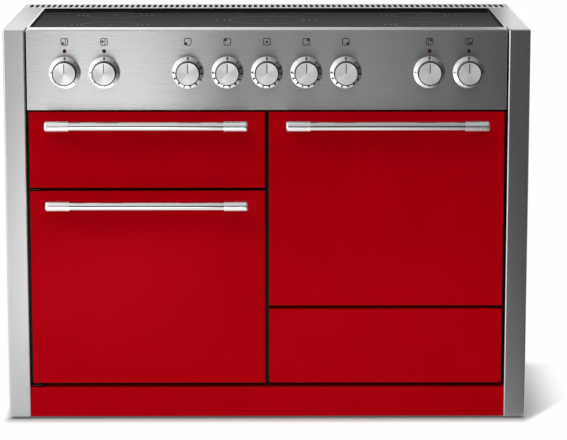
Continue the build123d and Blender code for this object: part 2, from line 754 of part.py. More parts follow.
# Cavities and what is in them
def cavity(centre, width, height, depth):
    """Enamel box, open at the front frame."""
    outer = slab(*centre, width + 2 * CAVITY_T, height + 2 * CAVITY_T, CAVITY_Y, CAVITY_Y + depth + CAVITY_T)
    return outer - slab(*centre, width, height, CAVITY_Y - CUT, CAVITY_Y + depth)


OVEN_BACK = CAVITY_Y + OVEN_D
GRILL_BACK = CAVITY_Y + GRILL_D
MOTOR_Y = OVEN_BACK + CAVITY_T
BAFFLE_Y = OVEN_BACK - BAFFLE_D


def oven_cavity(centre):
    """Oven box with a hole in its back for the fan shaft."""
    cx, cz = centre
    box = cavity(centre, OVEN_W, OVEN_H, OVEN_D)
    return box - rod_y(cx, OVEN_BACK - CUT, MOTOR_Y + CUT, cz, SHAFT_R + SHAFT_CLEAR)


def blanket(centre, width, height, depth):
    """Insulation on the five closed sides of a cavity."""
    wide, high = width + 2 * CAVITY_T, height + 2 * CAVITY_T
    y1 = CAVITY_Y + depth + CAVITY_T
    outer = slab(*centre, wide + 2 * INSUL_T, high + 2 * INSUL_T, CAVITY_Y, y1 + INSUL_T)
    return outer - slab(*centre, wide, high, CAVITY_Y - CUT, y1)


def oven_blanket(centre):
    """Oven insulation with a hole round the fan motor."""
    cx, cz = centre
    wool = blanket(centre, OVEN_W, OVEN_H, OVEN_D)
    return wool - rod_y(cx, MOTOR_Y - CUT, MOTOR_Y + INSUL_T + CUT, cz, MOTOR_R + FIT)


def fan_baffle(centre):
    """Cover over the oven fan with air holes in front and open slots at the sides."""
    cx, cz = centre
    cover = slab(cx, cz, BAFFLE_W, BAFFLE_W, BAFFLE_Y, OVEN_BACK)
    inner = BAFFLE_W - 2 * CAVITY_T
    cover -= slab(cx, cz, inner, inner, BAFFLE_Y + CAVITY_T, OVEN_BACK + CUT)
    slot_y = BAFFLE_Y + BAFFLE_SLOT_IN
    cover -= slab(cx, cz, BAFFLE_W + 2 * CUT, BAFFLE_SLOT_H, slot_y, slot_y + BAFFLE_SLOT_W)
    spots = [(0, 0)]
    for ring, count in ((1, 6), (2, 12)):
        radius = ring * BAFFLE_RING_STEP
        for step in range(count):
            angle = 2 * math.pi * step / count
            spots.append((math.cos(angle) * radius, math.sin(angle) * radius))
    holes = [
        rod_y(cx + x, BAFFLE_Y - CUT, BAFFLE_Y + CAVITY_T + CUT, cz + z, BAFFLE_HOLE_R) for x, z in spots
    ]
    return cover - holes


def oven_fan(centre):
    """Radial fan on a shaft that runs in the motor."""
    cx, cz = centre
    middle = BAFFLE_Y + CAVITY_T + (BAFFLE_D - CAVITY_T) / 2
    y0, y1 = middle - OVEN_FAN_H / 2, middle + OVEN_FAN_H / 2
    fan = rod_y(cx, y0, y1, cz, OVEN_FAN_HUB_R) + rod_y(cx, y1 - BLADE_T, y1, cz, OVEN_FAN_TIP_R)
    length = OVEN_FAN_TIP_R - OVEN_FAN_HUB_R / 2
    for turn in range(OVEN_FAN_BLADES):
        blade = Pos(OVEN_FAN_HUB_R / 2 + length / 2, 0, 0) * Box(length, OVEN_FAN_H, BLADE_T)
        fan += Pos(cx, middle, cz) * Rot(0, 360 * turn / OVEN_FAN_BLADES, 0) * blade
    return fan + rod_y(cx, y1 - BLADE_T, MOTOR_Y + MOTOR_BORE - SHAFT_END_GAP, cz, SHAFT_R)


def fan_motor(centre):
    """Motor on the back of the oven box."""
    cx, cz = centre
    body = rod_y(cx, MOTOR_Y, MOTOR_Y + MOTOR_L, cz, MOTOR_R)
    return body - rod_y(cx, MOTOR_Y - CUT, MOTOR_Y + MOTOR_BORE, cz, SHAFT_R + SHAFT_FIT)


def ring_element(centre):
    """Ring heater round the fan, on two tails that reach the back wall."""
    cx, cz = centre
    y = BAFFLE_Y + CAVITY_T + (BAFFLE_D - CAVITY_T) / 2
    ring = Pos(cx, y, cz) * Rot(90, 0, 0) * Torus(RING_R, ELEMENT_R)
    for side in (-1, 1):
        angle = math.radians(90 + side * TAIL_ANGLE)
        ring += rod_y(cx + math.cos(angle) * RING_R, y, OVEN_BACK, cz + math.sin(angle) * RING_R, TAIL_R)
    return ring


def grill_element():
    """Heater rod in long bends under the grill's ceiling, both ends in the back wall."""
    cx, cz = GRILL
    z = cz + GRILL_H / 2 - GRILL_ELEMENT_DROP
    runs = GRILL_ELEMENT_BENDS + 1
    front, back = CAVITY_Y + GRILL_ELEMENT_PITCH, GRILL_BACK - 2 * GRILL_ELEMENT_PITCH
    points = []
    for run in range(runs):
        x = cx + (run - (runs - 1) / 2) * GRILL_ELEMENT_PITCH * 2
        ends = [(x, back, z), (x, front, z)]
        points += ends if run % 2 == 0 else ends[::-1]
    points[0] = (points[0][0], GRILL_BACK, z)
    points[-1] = (points[-1][0], GRILL_BACK, z)
    path = FilletPolyline(*points, radius=GRILL_BEND_R)
    return sweep((path ^ 0) * Circle(ELEMENT_R), path)


def ladder(centre, side):
    """Rack support on an oven side wall: a sheet with a ledge for each rack."""
    cx, cz = centre
    wall = cx + side * OVEN_W / 2
    y0, y1 = CAVITY_Y + RACK_END_GAP, BAFFLE_Y - RACK_END_GAP
    floor = cz - OVEN_H / 2
    z0, z1 = floor + LADDER_MARGIN, floor + OVEN_H - LADDER_MARGIN
    frame = side_block(side, wall, 0, LADDER_T, y0, y1, z0, z1)
    for level in RACK_LEVELS:
        z = floor + level
        frame += side_block(side, wall, LADDER_T / 2, LEDGE_OUT, y0, y1, z - LADDER_T, z)
    return frame


def rack(centre, level):
    """Oven shelf: a frame with bars from front to back."""
    cx, cz = centre
    z = cz - OVEN_H / 2 + level
    half = OVEN_W / 2 - LADDER_T - RACK_CLEAR
    y0, y1 = CAVITY_Y + RACK_END_GAP, BAFFLE_Y - RACK_END_GAP
    shelf = block(cx - half, cx + half, y0, y1, z, z + RACK_T)
    gap = RACK_PITCH - RACK_BAR
    slots = [
        block(x - gap / 2, x + gap / 2, y0 + RACK_BAR, y1 - RACK_BAR, z - CUT, z + RACK_T + CUT)
        for x in tile(cx, 2 * (half - RACK_BAR), RACK_PITCH)
    ]
    return shelf - slots


# Grill drawer and storage drawer
def runner(centre, side, width, low_z, foot_z):
    """Fixed channel beside a drawer, standing on foot_z, with a lip under and over the drawer's rail."""
    wall = centre[0] + side * width / 2
    high_z = low_z + RAIL_H + 2 * (RUNNER_T + SLIDE_CLEAR)
    web = side_block(side, wall, 0, RUNNER_T, CAVITY_Y, RAIL_END, foot_z, high_z)
    web += side_block(side, wall, 0, LIP_W, CAVITY_Y, RAIL_END, low_z, low_z + RUNNER_T)
    return web + side_block(side, wall, 0, LIP_W, CAVITY_Y, RAIL_END, high_z - RUNNER_T, high_z)


def rail(centre, side, width, low_z):
    """Drawer's own rail, which runs in the fixed channel."""
    wall = centre[0] + side * width / 2
    near = RUNNER_T + SLIDE_CLEAR
    z0 = low_z + near
    return side_block(side, wall, near, near + RAIL_W, Y_LINER - LINER_T / 2, RAIL_END, z0, z0 + RAIL_H)


GRILL_RUNNER_Z = GRILL[1] - GRILL_H / 2 + GRILL_RUNNER_RISE
STORE_RUNNER_Z = STORE[1] - STORE_H / 2 + STORE_RUNNER_RISE
RAIL_TOP = GRILL_RUNNER_Z + RUNNER_T + SLIDE_CLEAR + RAIL_H
RAIL_INSIDE = RUNNER_T + SLIDE_CLEAR + RAIL_W


def fixed_runners():
    """Two channels in the grill cavity and two that stand on the base for the storage drawer."""
    pieces = [runner(GRILL, side, GRILL_W, GRILL_RUNNER_Z, GRILL_RUNNER_Z) for side in (-1, 1)]
    return pieces + [runner(STORE, side, STORE_W, STORE_RUNNER_Z, BASE_TOP) for side in (-1, 1)]


def grill_carriage():
    """Liner of the grill front with two rails and a rear bar, which carry the grill pan."""
    cx = GRILL[0]
    half = GRILL_W / 2 - RAIL_INSIDE + RAIL_W / 2
    frame = front_liner(GRILL, DRAWER_FRONT_H)
    for side in (-1, 1):
        frame += rail(GRILL, side, GRILL_W, GRILL_RUNNER_Z)
    return frame + block(cx - half, cx + half, RAIL_END - RAIL_H, RAIL_END, RAIL_TOP - RAIL_H, RAIL_TOP)


PAN_Y0 = Y_LINER + PAN_END_GAP
PAN_Y1 = RAIL_END - RAIL_H - PAN_END_GAP
PAN_X = GRILL_W / 2 - RAIL_INSIDE - FIT


def grill_pan():
    """Shallow pan whose rim hangs on the rails."""
    cx = GRILL[0]
    rim_x = GRILL_W / 2 - LIP_W - PAN_FLANGE_GAP
    pan = block(cx - PAN_X, cx + PAN_X, PAN_Y0, PAN_Y1, RAIL_TOP - PAN_DEPTH, RAIL_TOP + PAN_T)
    pan += block(cx - rim_x, cx + rim_x, PAN_Y0, PAN_Y1, RAIL_TOP, RAIL_TOP + PAN_T)
    inner = PAN_X - PAN_T
    floor = RAIL_TOP - PAN_DEPTH + PAN_T
    return pan - block(cx - inner, cx + inner, PAN_Y0 + PAN_T, PAN_Y1 - PAN_T, floor, RAIL_TOP + CUT)


def grill_trivet():
    """Slotted food grid on four legs in the grill pan."""
    cx = GRILL[0]
    half = PAN_X - PAN_T - TRIVET_GAP
    y0, y1 = PAN_Y0 + PAN_T + TRIVET_GAP, PAN_Y1 - PAN_T - TRIVET_GAP
    floor = RAIL_TOP - PAN_DEPTH + PAN_T
    grid = block(cx - half, cx + half, y0, y1, RAIL_TOP - TRIVET_T, RAIL_TOP)
    slots = [
        block(x - TRIVET_SLOT_W / 2, x + TRIVET_SLOT_W / 2, y0 + 2 * TRIVET_LEG, y1 - 2 * TRIVET_LEG,
              RAIL_TOP - TRIVET_T - CUT, RAIL_TOP + CUT)
        for x in tile(cx, 2 * (half - TRIVET_LEG), TRIVET_SLOT_PITCH)
    ]
    grid -= slots
    for side in (-1, 1):
        for y in (y0, y1 - TRIVET_LEG):
            z1 = RAIL_TOP - TRIVET_T / 2
            grid += side_block(side, cx + side * half, 0, TRIVET_LEG, y, y + TRIVET_LEG, floor, z1)
    return grid


def storage_tray():
    """Open-topped drawer box on the liner of its front, with a rail each side."""
    cx, cz = STORE
    half = STORE_W / 2 - RAIL_INSIDE
    z0, z1 = cz - STORE_H / 2 + TRAY_FLOOR_GAP, cz + STORE_H / 2 - TRAY_TOP_GAP
    y1 = CAVITY_Y + STORE_D
    tray = block(cx - half, cx + half, Y_LINER - LINER_T / 2, y1, z0, z1)
    for side in (-1, 1):
        tray += rail(STORE, side, STORE_W, STORE_RUNNER_Z)
    wall = TRAY_WALL
    tray -= block(cx - half + wall, cx + half - wall, Y_LINER, y1 - wall, z0 + wall, z1 + CUT)
    return tray + front_liner(STORE, DRAWER_FRONT_H)


# Write every node
os.makedirs("parts", exist_ok=True)

right_side = side_panel()
save("left_side_panel", mirrored(right_side))
save("right_side_panel", right_side)
save("base_tray", base_tray())
save("back_panel", back_panel())
save("back_screws", *back_screws())
save("plinth", plinth())
save("front_frame", front_frame())
save("front_feet", *[front_foot(x, y) for x, y in foot_places()])
save("roller_brackets", roller_bracket(-1), roller_bracket(1))
save("left_rear_roller", roller(-1))
save("right_rear_roller", roller(1))
save("terminal_box", *terminal_box())

save("control_panel", control_panel())
save("knob_bezels", *[bezel(x) for x in KNOB_XS])
save("control_switches", *[switch(x) for x in KNOB_XS])
save("indicator_lamps", *[lamp(x) for x in PAIR_XS])
for number, knob_x in enumerate(KNOB_XS, start=1):
    save(f"knob_{number}", knob(knob_x))

save("hob_tray", hob_tray())
save("hob_glass", hob_glass())
save("induction_coils", *coils())
save("power_boards", power_board(-1), power_board(1))
save("hob_fan_housing", hob_fan_housing())
save("hob_fan", hob_fan())
save("rear_vent", rear_vent())

save("left_oven_cavity", oven_cavity(LEFT_OVEN))
save("right_oven_cavity", oven_cavity(RIGHT_OVEN))
save("grill_cavity", cavity(GRILL, GRILL_W, GRILL_H, GRILL_D))
grill_blanket = blanket(GRILL, GRILL_W, GRILL_H, GRILL_D)
save("oven_insulation", oven_blanket(LEFT_OVEN), oven_blanket(RIGHT_OVEN), grill_blanket)
save("fan_baffles", fan_baffle(LEFT_OVEN), fan_baffle(RIGHT_OVEN))
save("left_oven_fan", oven_fan(LEFT_OVEN))
save("right_oven_fan", oven_fan(RIGHT_OVEN))
save("fan_motors", fan_motor(LEFT_OVEN), fan_motor(RIGHT_OVEN))
save("heating_elements", ring_element(LEFT_OVEN), ring_element(RIGHT_OVEN), grill_element())
ovens = (LEFT_OVEN, RIGHT_OVEN)
save("rack_ladders", *[ladder(oven, side) for oven in ovens for side in (-1, 1)])
save("oven_racks", *[rack(oven, level) for oven in ovens for level in RACK_LEVELS])
save("door_seals", door_seal(LEFT_OVEN), door_seal(RIGHT_OVEN))
save("hinge_brackets", *hinge_brackets())

save("left_door_panel", door_panel(-1, LEFT_OVEN, LEFT_DOOR_Z))
save("left_door_liner", front_liner(LEFT_OVEN, DOOR_H))
save("left_door_handle", *handle(LEFT_OVEN, DOOR_H))
save("right_door_panel", door_panel(1, RIGHT_OVEN, RIGHT_DOOR_Z))
save("right_door_liner", front_liner(RIGHT_OVEN, DOOR_H))
save("right_door_handle", *handle(RIGHT_OVEN, DOOR_H))

save("fixed_runners", *fixed_runners())
save("grill_front", front_shell(GRILL, DRAWER_FRONT_H))
save("grill_handle", *handle(GRILL, DRAWER_FRONT_H))
save("grill_carriage", grill_carriage())
save("grill_pan", grill_pan())
save("grill_trivet", grill_trivet())
save("storage_front", front_shell(STORE, DRAWER_FRONT_H))
save("storage_tray", storage_tray())
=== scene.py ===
# %% [markdown]
# # An induction range, dressed over its solids
# The range is a 1.2 m wide cooker: two ovens, a grill drawer and a storage drawer behind red
# enamel fronts, a steel panel with nine knobs, and a black glass hob on top. The solids were
# made in CAD.

# %% Load the solids
import math

import bmesh
import bpy
import numpy as np
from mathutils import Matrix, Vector


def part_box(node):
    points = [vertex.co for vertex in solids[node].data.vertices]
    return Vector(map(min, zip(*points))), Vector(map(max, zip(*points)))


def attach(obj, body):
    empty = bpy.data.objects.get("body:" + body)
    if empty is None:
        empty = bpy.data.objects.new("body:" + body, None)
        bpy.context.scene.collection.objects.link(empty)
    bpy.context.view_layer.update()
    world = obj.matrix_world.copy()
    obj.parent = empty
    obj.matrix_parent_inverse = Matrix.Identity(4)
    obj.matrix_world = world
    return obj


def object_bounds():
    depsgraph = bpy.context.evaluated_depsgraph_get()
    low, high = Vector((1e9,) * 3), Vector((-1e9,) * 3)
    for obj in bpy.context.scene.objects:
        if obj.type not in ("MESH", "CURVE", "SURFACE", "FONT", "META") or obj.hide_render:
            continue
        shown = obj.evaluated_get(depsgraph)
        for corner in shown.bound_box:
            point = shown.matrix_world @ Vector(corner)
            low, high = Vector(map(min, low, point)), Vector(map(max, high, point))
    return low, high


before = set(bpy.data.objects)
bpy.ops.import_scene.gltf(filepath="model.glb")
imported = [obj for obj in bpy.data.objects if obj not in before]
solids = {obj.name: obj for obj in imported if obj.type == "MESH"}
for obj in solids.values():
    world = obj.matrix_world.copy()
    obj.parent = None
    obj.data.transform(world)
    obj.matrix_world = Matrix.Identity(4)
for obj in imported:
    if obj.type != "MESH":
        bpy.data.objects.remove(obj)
solid_low, solid_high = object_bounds()

# %% [markdown]
# ## Where the photographer stands
# The range is seen from the front, a little above the hob, through a long lens, so its sides
# stay hidden and the glass is a thin strip. A shifted lens would keep the uprights parallel,
# but the shift would stay on in every other view. A camera that stands far off and tips down
# by about ten degrees shows nearly the same picture with no shift at all.

# %% Camera
CAMERA_BACK = 6.0
CAMERA_HEIGHT = 1.561
CAMERA_TIP = 10.23
CAMERA_TURN = 0.366
LENS = 166.3

range_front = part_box("left_side_panel")[0].y
lens = bpy.data.cameras.new("front_view")
lens.lens = LENS
lens.sensor_width = 36
lens.clip_end = 200
camera = bpy.data.objects.new("front_view", lens)
camera.location = (0, range_front - CAMERA_BACK, CAMERA_HEIGHT)
camera.rotation_euler = (math.radians(90 - CAMERA_TIP), 0, math.radians(-CAMERA_TURN))
bpy.context.scene.collection.objects.link(camera)
bpy.context.scene.camera = camera
bpy.context.scene.view_settings.view_transform = "Standard"
print("camera at", [round(v, 3) for v in camera.location])

# %% [markdown]
# ## Small helpers for finishes
# Every finish below is one Principled shader with a few texture nodes in front of it. Nodes
# could be laid out by hand in the editor. A few helpers are enough to write them in code: one
# starts a finish, one adds a node and fills its sockets with numbers or with links, and the
# rest are the patterns that come up again and again.

# %% Finish helpers
def new_finish(name, sockets):
    """A material with one Principled shader, whose sockets get the given plain values."""
    finish = bpy.data.materials.new(name)
    finish.use_nodes = True
    shader = finish.node_tree.nodes["Principled BSDF"]
    for socket, value in sockets.items():
        shader.inputs[socket].default_value = value
    return finish, shader


def add(finish, kind, sockets=None, **fields):
    """One node: fields are its settings, sockets its inputs, each a value or a link."""
    node = finish.node_tree.nodes.new("ShaderNode" + kind)
    for field, value in fields.items():
        setattr(node, field, value)
    for socket, value in (sockets or {}).items():
        if isinstance(value, bpy.types.NodeSocket):
            finish.node_tree.links.new(value, node.inputs[socket])
        else:
            node.inputs[socket].default_value = value
    return node


def feed(finish, shader, **links):
    """Links outputs to the shader's sockets; Base_Color stands for the socket Base Color."""
    for socket, output in links.items():
        finish.node_tree.links.new(output, shader.inputs[socket.replace("_", " ")])


def pattern_space(finish, size, centre=(0, 0, 0)):
    """Object coordinates measured from centre, in cells of the given size in metres."""
    here = add(finish, "TexCoord").outputs["Object"]
    cells = {"Vector": here, "Location": centre, "Scale": size}
    return add(finish, "Mapping", cells, vector_type="TEXTURE").outputs[0]


def noise(finish, size, detail=3.0, roughness=0.5):
    """Soft random values from 0 to 1 whose blobs are about size across."""
    where = pattern_space(finish, size)
    look = {"Vector": where, "Scale": 1.0, "Detail": detail, "Roughness": roughness}
    return add(finish, "TexNoise", look).outputs[0]


def spread(finish, value, low, high, start=0.3, end=0.7):
    """Stretches a value that runs from start to end so that it runs from low to high."""
    ends = {"Value": value, "From Min": start, "From Max": end, "To Min": low, "To Max": high}
    return add(finish, "MapRange", ends).outputs[0]


def tint(finish, value, dark, light, start=0.3, end=0.7):
    """Turns a value into a colour between dark, at start, and light, at end."""
    ramp = add(finish, "ValToRGB", {"Fac": value})
    for stop, place, colour in zip(ramp.color_ramp.elements, (start, end), (dark, light)):
        stop.position = place
        stop.color = (*colour, 1)
    return ramp.outputs[0]


def both(finish, first, second, operation):
    """Two values put together by one operation."""
    return add(finish, "Math", {0: first, 1: second}, operation=operation).outputs[0]


def bump(finish, height, depth, strength=1.0):
    """A normal that follows a height value, depth metres from its lowest to its highest."""
    rise = {"Height": height, "Distance": depth, "Strength": strength}
    return add(finish, "Bump", rise).outputs[0]


def grey(level):
    """A neutral colour."""
    return (level, level, level)


print("finish helpers ready")

# %% [markdown]
# ## Satin steel
# The control panel, the side panels and the trim round the hob are brushed stainless steel.
# Brushing leaves hair-fine scratches along one direction, so a reflection is smeared across
# them and stays sharper along them. A mirror finish with bump scratches would sparkle at this
# distance. The shader's own anisotropy gives the smear, and a stretched noise the threads.
# Level tops are seen at a low angle and look paler and flatter than the walls. That paleness is
# painted light: there a share of the metal gives way to a matt grey, and the vent is a painted
# paler copy of the steel.

# %% Brushed steel
STEEL_DARK = 0.594
STEEL_LIGHT = 0.611
THREAD = 0.0004
THREAD_RUN = 0.15
GLOSS_SWING = 0.015
PAINTED_PALE_FROM, PAINTED_PALE_TO = 0.6, 0.95
SMEAR = (0.0, 0.05, 1.0)


def brushed_steel(name, cell, roughness, haze=0.0, painted_pale_gain=1.0):
    """Steel with level threads: noise cells long on the grain and thin across it, and a
    smear straight up every wall, which on a level face falls along Y. Haze is the share of
    painted matt shine on level faces, a painted pale in place of the light they catch, and
    the gain makes the metal a painted paler copy."""
    finish, shader = new_finish(name, {"Metallic": 1.0, "Anisotropic": 1.0})
    threads = noise(finish, cell, detail=2.0)
    across = add(finish, "CombineXYZ", dict(enumerate(SMEAR))).outputs[0]
    sharpest, dullest = roughness * (1 - GLOSS_SWING), roughness * (1 + GLOSS_SWING)
    feed(
        finish,
        shader,
        Base_Color=tint(finish, threads, grey(STEEL_DARK * painted_pale_gain), grey(STEEL_LIGHT * painted_pale_gain)),
        Roughness=spread(finish, threads, sharpest, dullest),
        Tangent=across,
    )
    # painted pale: level faces give up part of their metal for a matt grey, in place of the light
    # they catch
    if haze:
        upright = add(finish, "TexCoord").outputs["Normal"]
        level = add(finish, "SeparateXYZ", {0: upright}).outputs[2]
        metal = spread(finish, level, 1.0, 1.0 - haze, PAINTED_PALE_FROM, PAINTED_PALE_TO)
        feed(finish, shader, Metallic=metal)
    return finish


steel_front = brushed_steel("steel_brushed_front", (THREAD_RUN, THREAD, THREAD), 0.275)
# the side panels carry painted pale tops
steel_round_painted_pale_tops = brushed_steel("steel_brushed_round_painted_pale_tops", (THREAD_RUN, THREAD_RUN, THREAD), 0.26, 0.55)
# the vent's steel is a painted paler copy, with painted pale tops as well
steel_vent_painted_pale = brushed_steel("steel_brushed_vent_painted_pale", (THREAD_RUN, THREAD, THREAD), 0.45, 0.85, 1.35)
print("steel:", steel_front.name, steel_round_painted_pale_tops.name, steel_vent_painted_pale.name)

# %% [markdown]
# ## Bright handles
# A handle is a polished bar held by two satin ferrules. The bar mirrors the pale floor below,
# the dark line of the horizon and the haze above it, and the ferrules blur all three. It could
# be two finishes on split faces, but the handle is one solid, so one finish changes its gloss
# where the ferrules begin.

# %% Handles
FERRULE_L = 0.056
FERRULE_EDGE = 0.0002
BAR_GREY = 0.74
FERRULE_GREY = 0.86


def handle_plate(name, low, high):
    """A bar along X between two ferrules: the bar is polished, with faint smears that change
    only how sharp it mirrors, and within a ferrule's length of either end it is satin."""
    finish, shader = new_finish(name, {"Metallic": 1.0})
    smear = noise(finish, (0.03, 0.03, 0.03))
    from_middle = pattern_space(finish, (1, 1, 1), ((low + high) / 2, 0, 0))
    along = add(finish, "SeparateXYZ", {0: from_middle}).outputs[0]
    aside = add(finish, "Math", {0: along}, operation="ABSOLUTE").outputs[0]
    bar_half = (high - low) / 2 - FERRULE_L
    end = spread(finish, aside, 0.0, 1.0, bar_half - FERRULE_EDGE, bar_half + FERRULE_EDGE)
    gloss = spread(finish, smear, 0.03, 0.06)
    satin = spread(finish, smear, 0.27, 0.31)
    feed(
        finish,
        shader,
        Base_Color=tint(finish, end, grey(BAR_GREY), grey(FERRULE_GREY), 0, 1),
        Roughness=add(finish, "Mix", {0: end, 2: gloss, 3: satin}).outputs[0],
    )
    return finish


print("handle plate: ferrules", FERRULE_L, "m long")

# %% [markdown]
# ## Turned knobs and satin bezels
# A knob is black with a bright disc on its face. The disc is turned on a lathe, which leaves
# rings, and rings show the bow-tie glint that every turned face has. Rings could be bumped, but
# they are finer than a pixel, so the tangent is set round the knob instead. The cone round each
# knob is plated and rubbed down, so it shows white and dark sides with soft edges.

# %% Turned metal and bezels
DISC_T = 0.0008
DISC_METAL = 0.7
DISC_GREY = 0.90
WALL_GREY = 0.004
WALL_GLOSS = 0.14
RING_PACE = 9000.0
FLATTEN = 1e6


def turned_metal(name, centre, front):
    """A knob round an axis along Y: within the thickness of the disc behind the front it is
    bright metal whose shade waves with the distance to the axis, and behind that black."""
    plain = {"Anisotropic": 0.80, "Anisotropic Rotation": 0.25, "Specular IOR Level": 0.15}
    finish, shader = new_finish(name, plain)
    from_axis = pattern_space(finish, (1, FLATTEN, 1), centre)
    reach = add(finish, "VectorMath", {0: from_axis}, operation="LENGTH").outputs["Value"]
    rings = both(finish, reach, RING_PACE, "MULTIPLY")
    wave = add(finish, "Math", {0: rings}, operation="SINE").outputs[0]
    here = add(finish, "TexCoord").outputs["Object"]
    depth = add(finish, "SeparateXYZ", {0: here}).outputs[1]
    face = spread(finish, depth, 1.0, 0.0, front + DISC_T * 0.9, front + DISC_T)
    bright = spread(finish, wave, 0.9, 1.0, -1, 1)
    shade = both(finish, bright, face, "MULTIPLY")
    rough = spread(finish, wave, 0.36, 0.42, -1, 1)
    gloss = add(finish, "Mix", {0: face, 2: WALL_GLOSS, 3: rough}).outputs[0]
    round_axis = add(finish, "Tangent", direction_type="RADIAL", axis="Y").outputs[0]
    feed(
        finish,
        shader,
        Base_Color=tint(finish, shade, grey(WALL_GREY), grey(DISC_GREY), 0, 1),
        Metallic=both(finish, face, DISC_METAL, "MULTIPLY"),
        Roughness=gloss,
        Tangent=round_axis,
    )
    return finish


def satin_plate(name, colour, roughness):
    """Plating with a satin face: faint smears over a soft mirror image."""
    finish, shader = new_finish(name, {"Metallic": 1.0})
    smear = noise(finish, (0.01, 0.01, 0.01))
    feed(
        finish,
        shader,
        Base_Color=tint(finish, smear, [c * 0.95 for c in colour], colour),
        Roughness=spread(finish, smear, roughness * 0.9, roughness * 1.1),
    )
    return finish


bezel_plate = satin_plate("bezel_plate", (0.80, 0.80, 0.80), 0.30)
print("plating:", bezel_plate.name)

# %% [markdown]
# ## Enamels
# The doors are pressed steel under thick red enamel: even colour, a wet shine, and a slight
# orange-peel ripple that only shows in the mirror image. Ovens are lined with dark enamel
# flecked with white, fused at the same heat. Both are a colour with a little noise; the
# flecks are the peaks of a fine noise, cut off sharply.

# %% Enamel
RED = (0.385, 0.0004, 0.0045)
RED_DEEP = (0.360, 0.0003, 0.0038)


def enamel(name, dark, light, roughness, shine, gleam=(1, 1, 1)):
    """Glossy enamel with slow colour change and a ripple 2 mm long and 6 microns high; gleam
    tints the mirror image that it shows head on."""
    finish, shader = new_finish(name, {"Specular IOR Level": shine, "Specular Tint": (*gleam, 1)})
    cloud = noise(finish, (0.12, 0.12, 0.12))
    peel = noise(finish, (0.002, 0.002, 0.002), detail=1.0)
    feed(
        finish,
        shader,
        Base_Color=tint(finish, cloud, dark, light),
        Roughness=spread(finish, cloud, roughness * 0.9, roughness * 1.1),
        Normal=bump(finish, peel, 0.000006),
    )
    return finish


def flecked_enamel(name):
    """Dark enamel with pale flecks where a 1.2 mm noise passes two thirds."""
    finish, shader = new_finish(name, {"Specular IOR Level": 0.5})
    fleck = noise(finish, (0.0012, 0.0012, 0.0012), detail=1.0)
    cloud = noise(finish, (0.05, 0.05, 0.05))
    feed(
        finish,
        shader,
        Base_Color=tint(finish, fleck, (0.018, 0.019, 0.022), (0.30, 0.31, 0.33), 0.66, 0.70),
        Roughness=spread(finish, cloud, 0.22, 0.34),
        Normal=bump(finish, fleck, 0.00001),
    )
    return finish


red_enamel = enamel("red_enamel", RED_DEEP, RED, 0.16, 0.18, (1, 0.03, 0.05))
black_enamel = enamel("black_enamel", grey(0.002), grey(0.004), 0.35, 0.2)
oven_enamel = flecked_enamel("flecked_oven_enamel")
print("enamels:", red_enamel.name, black_enamel.name, oven_enamel.name)

# %% [markdown]
# ## Glass, zinc, wire, rubber, plastic
# The hob is one sheet of black glass ceramic, wiped clean but never quite free of haze. The
# hidden sheet metal is zinc coated, and zinc freezes in spangles, which are the cells of a
# Voronoi pattern. Rubber and moulded plastic are matt with a fine grain. Wire, wool, heaters,
# boards and lamps need no more than that either, each with its own colours and size of cell.

# %% Glass and the hidden metals
def black_glass(name):
    """Near-black glass whose haze varies slowly over a hand's width."""
    finish, shader = new_finish(name, {"Specular IOR Level": 0.5, "IOR": 1.5})
    haze = noise(finish, (0.15, 0.05, 0.05))
    feed(
        finish,
        shader,
        Base_Color=tint(finish, haze, (0.0125, 0.0128, 0.0135), (0.017, 0.0173, 0.018)),
        Roughness=spread(finish, haze, 0.05, 0.10),
    )
    return finish


def spangled_zinc(name):
    """Zinc: each Voronoi cell, about 9 mm wide, has its own grey and its own gloss."""
    finish, shader = new_finish(name, {"Metallic": 0.9})
    where = pattern_space(finish, (0.009, 0.009, 0.009))
    cells = add(finish, "TexVoronoi", {"Vector": where, "Scale": 1.0}).outputs["Color"]
    one = add(finish, "SeparateColor", {"Color": cells}).outputs[0]
    feed(
        finish,
        shader,
        Base_Color=tint(finish, one, (0.42, 0.43, 0.44), (0.58, 0.59, 0.60), 0, 1),
        Roughness=spread(finish, one, 0.34, 0.50, 0, 1),
    )
    return finish


def grained(name, dark, light, roughness, cell, depth, metallic=0.0):
    """A plain material with a fine grain: one noise drives its colour, gloss and bump."""
    finish, shader = new_finish(name, {"Metallic": metallic})
    grain = noise(finish, cell)
    feed(
        finish,
        shader,
        Base_Color=tint(finish, grain, dark, light),
        Roughness=spread(finish, grain, roughness * 0.88, roughness * 1.12),
        Normal=bump(finish, grain, depth),
    )
    return finish


FINE = (0.0008, 0.0008, 0.0008)
COARSE = (0.01, 0.01, 0.01)
FIBRE = (0.02, 0.002, 0.002)
SCALE_CELL = (0.006, 0.006, 0.006)
TRACK = (0.008, 0.003, 0.008)
hob_glass = black_glass("hob_glass_black")
zinc = spangled_zinc("zinc_spangled")
wire = grained("wire_plated", grey(0.50), grey(0.62), 0.24, COARSE, 0.00001, 1.0)
rubber = grained("rubber_black", grey(0.012), grey(0.022), 0.75, FINE, 0.00004)
plastic = grained("plastic_black", grey(0.016), grey(0.026), 0.48, FINE, 0.00003)
wool = grained("mineral_wool", (0.42, 0.37, 0.26), (0.66, 0.60, 0.46), 0.95, FIBRE, 0.002)
heater = grained("heater_sheath", grey(0.05), (0.13, 0.12, 0.11), 0.45, SCALE_CELL, 0.00002, 0.8)
board = grained("circuit_board", (0.010, 0.075, 0.030), (0.025, 0.16, 0.07), 0.42, TRACK, 0.0002)
lamp_red = grained("lamp_lens_red", (0.07, 0.003, 0.004), (0.11, 0.005, 0.006), 0.18, FINE, 0.00001)
print("other finishes:", len(bpy.data.materials))

# %% [markdown]
# ## Copper windings
# Under the glass lie flat coils of copper wire, wound in rings like a gramophone record. The
# solid is a plain disc. Turning each ring into geometry would cost a million faces under
# black glass, so a ring wave round the middle of the coils on the right draws the turns.

# %% Copper
COIL_X = 0.370
TURNS = 0.02
coil_y = sum(corner.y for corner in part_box("induction_coils")) / 2


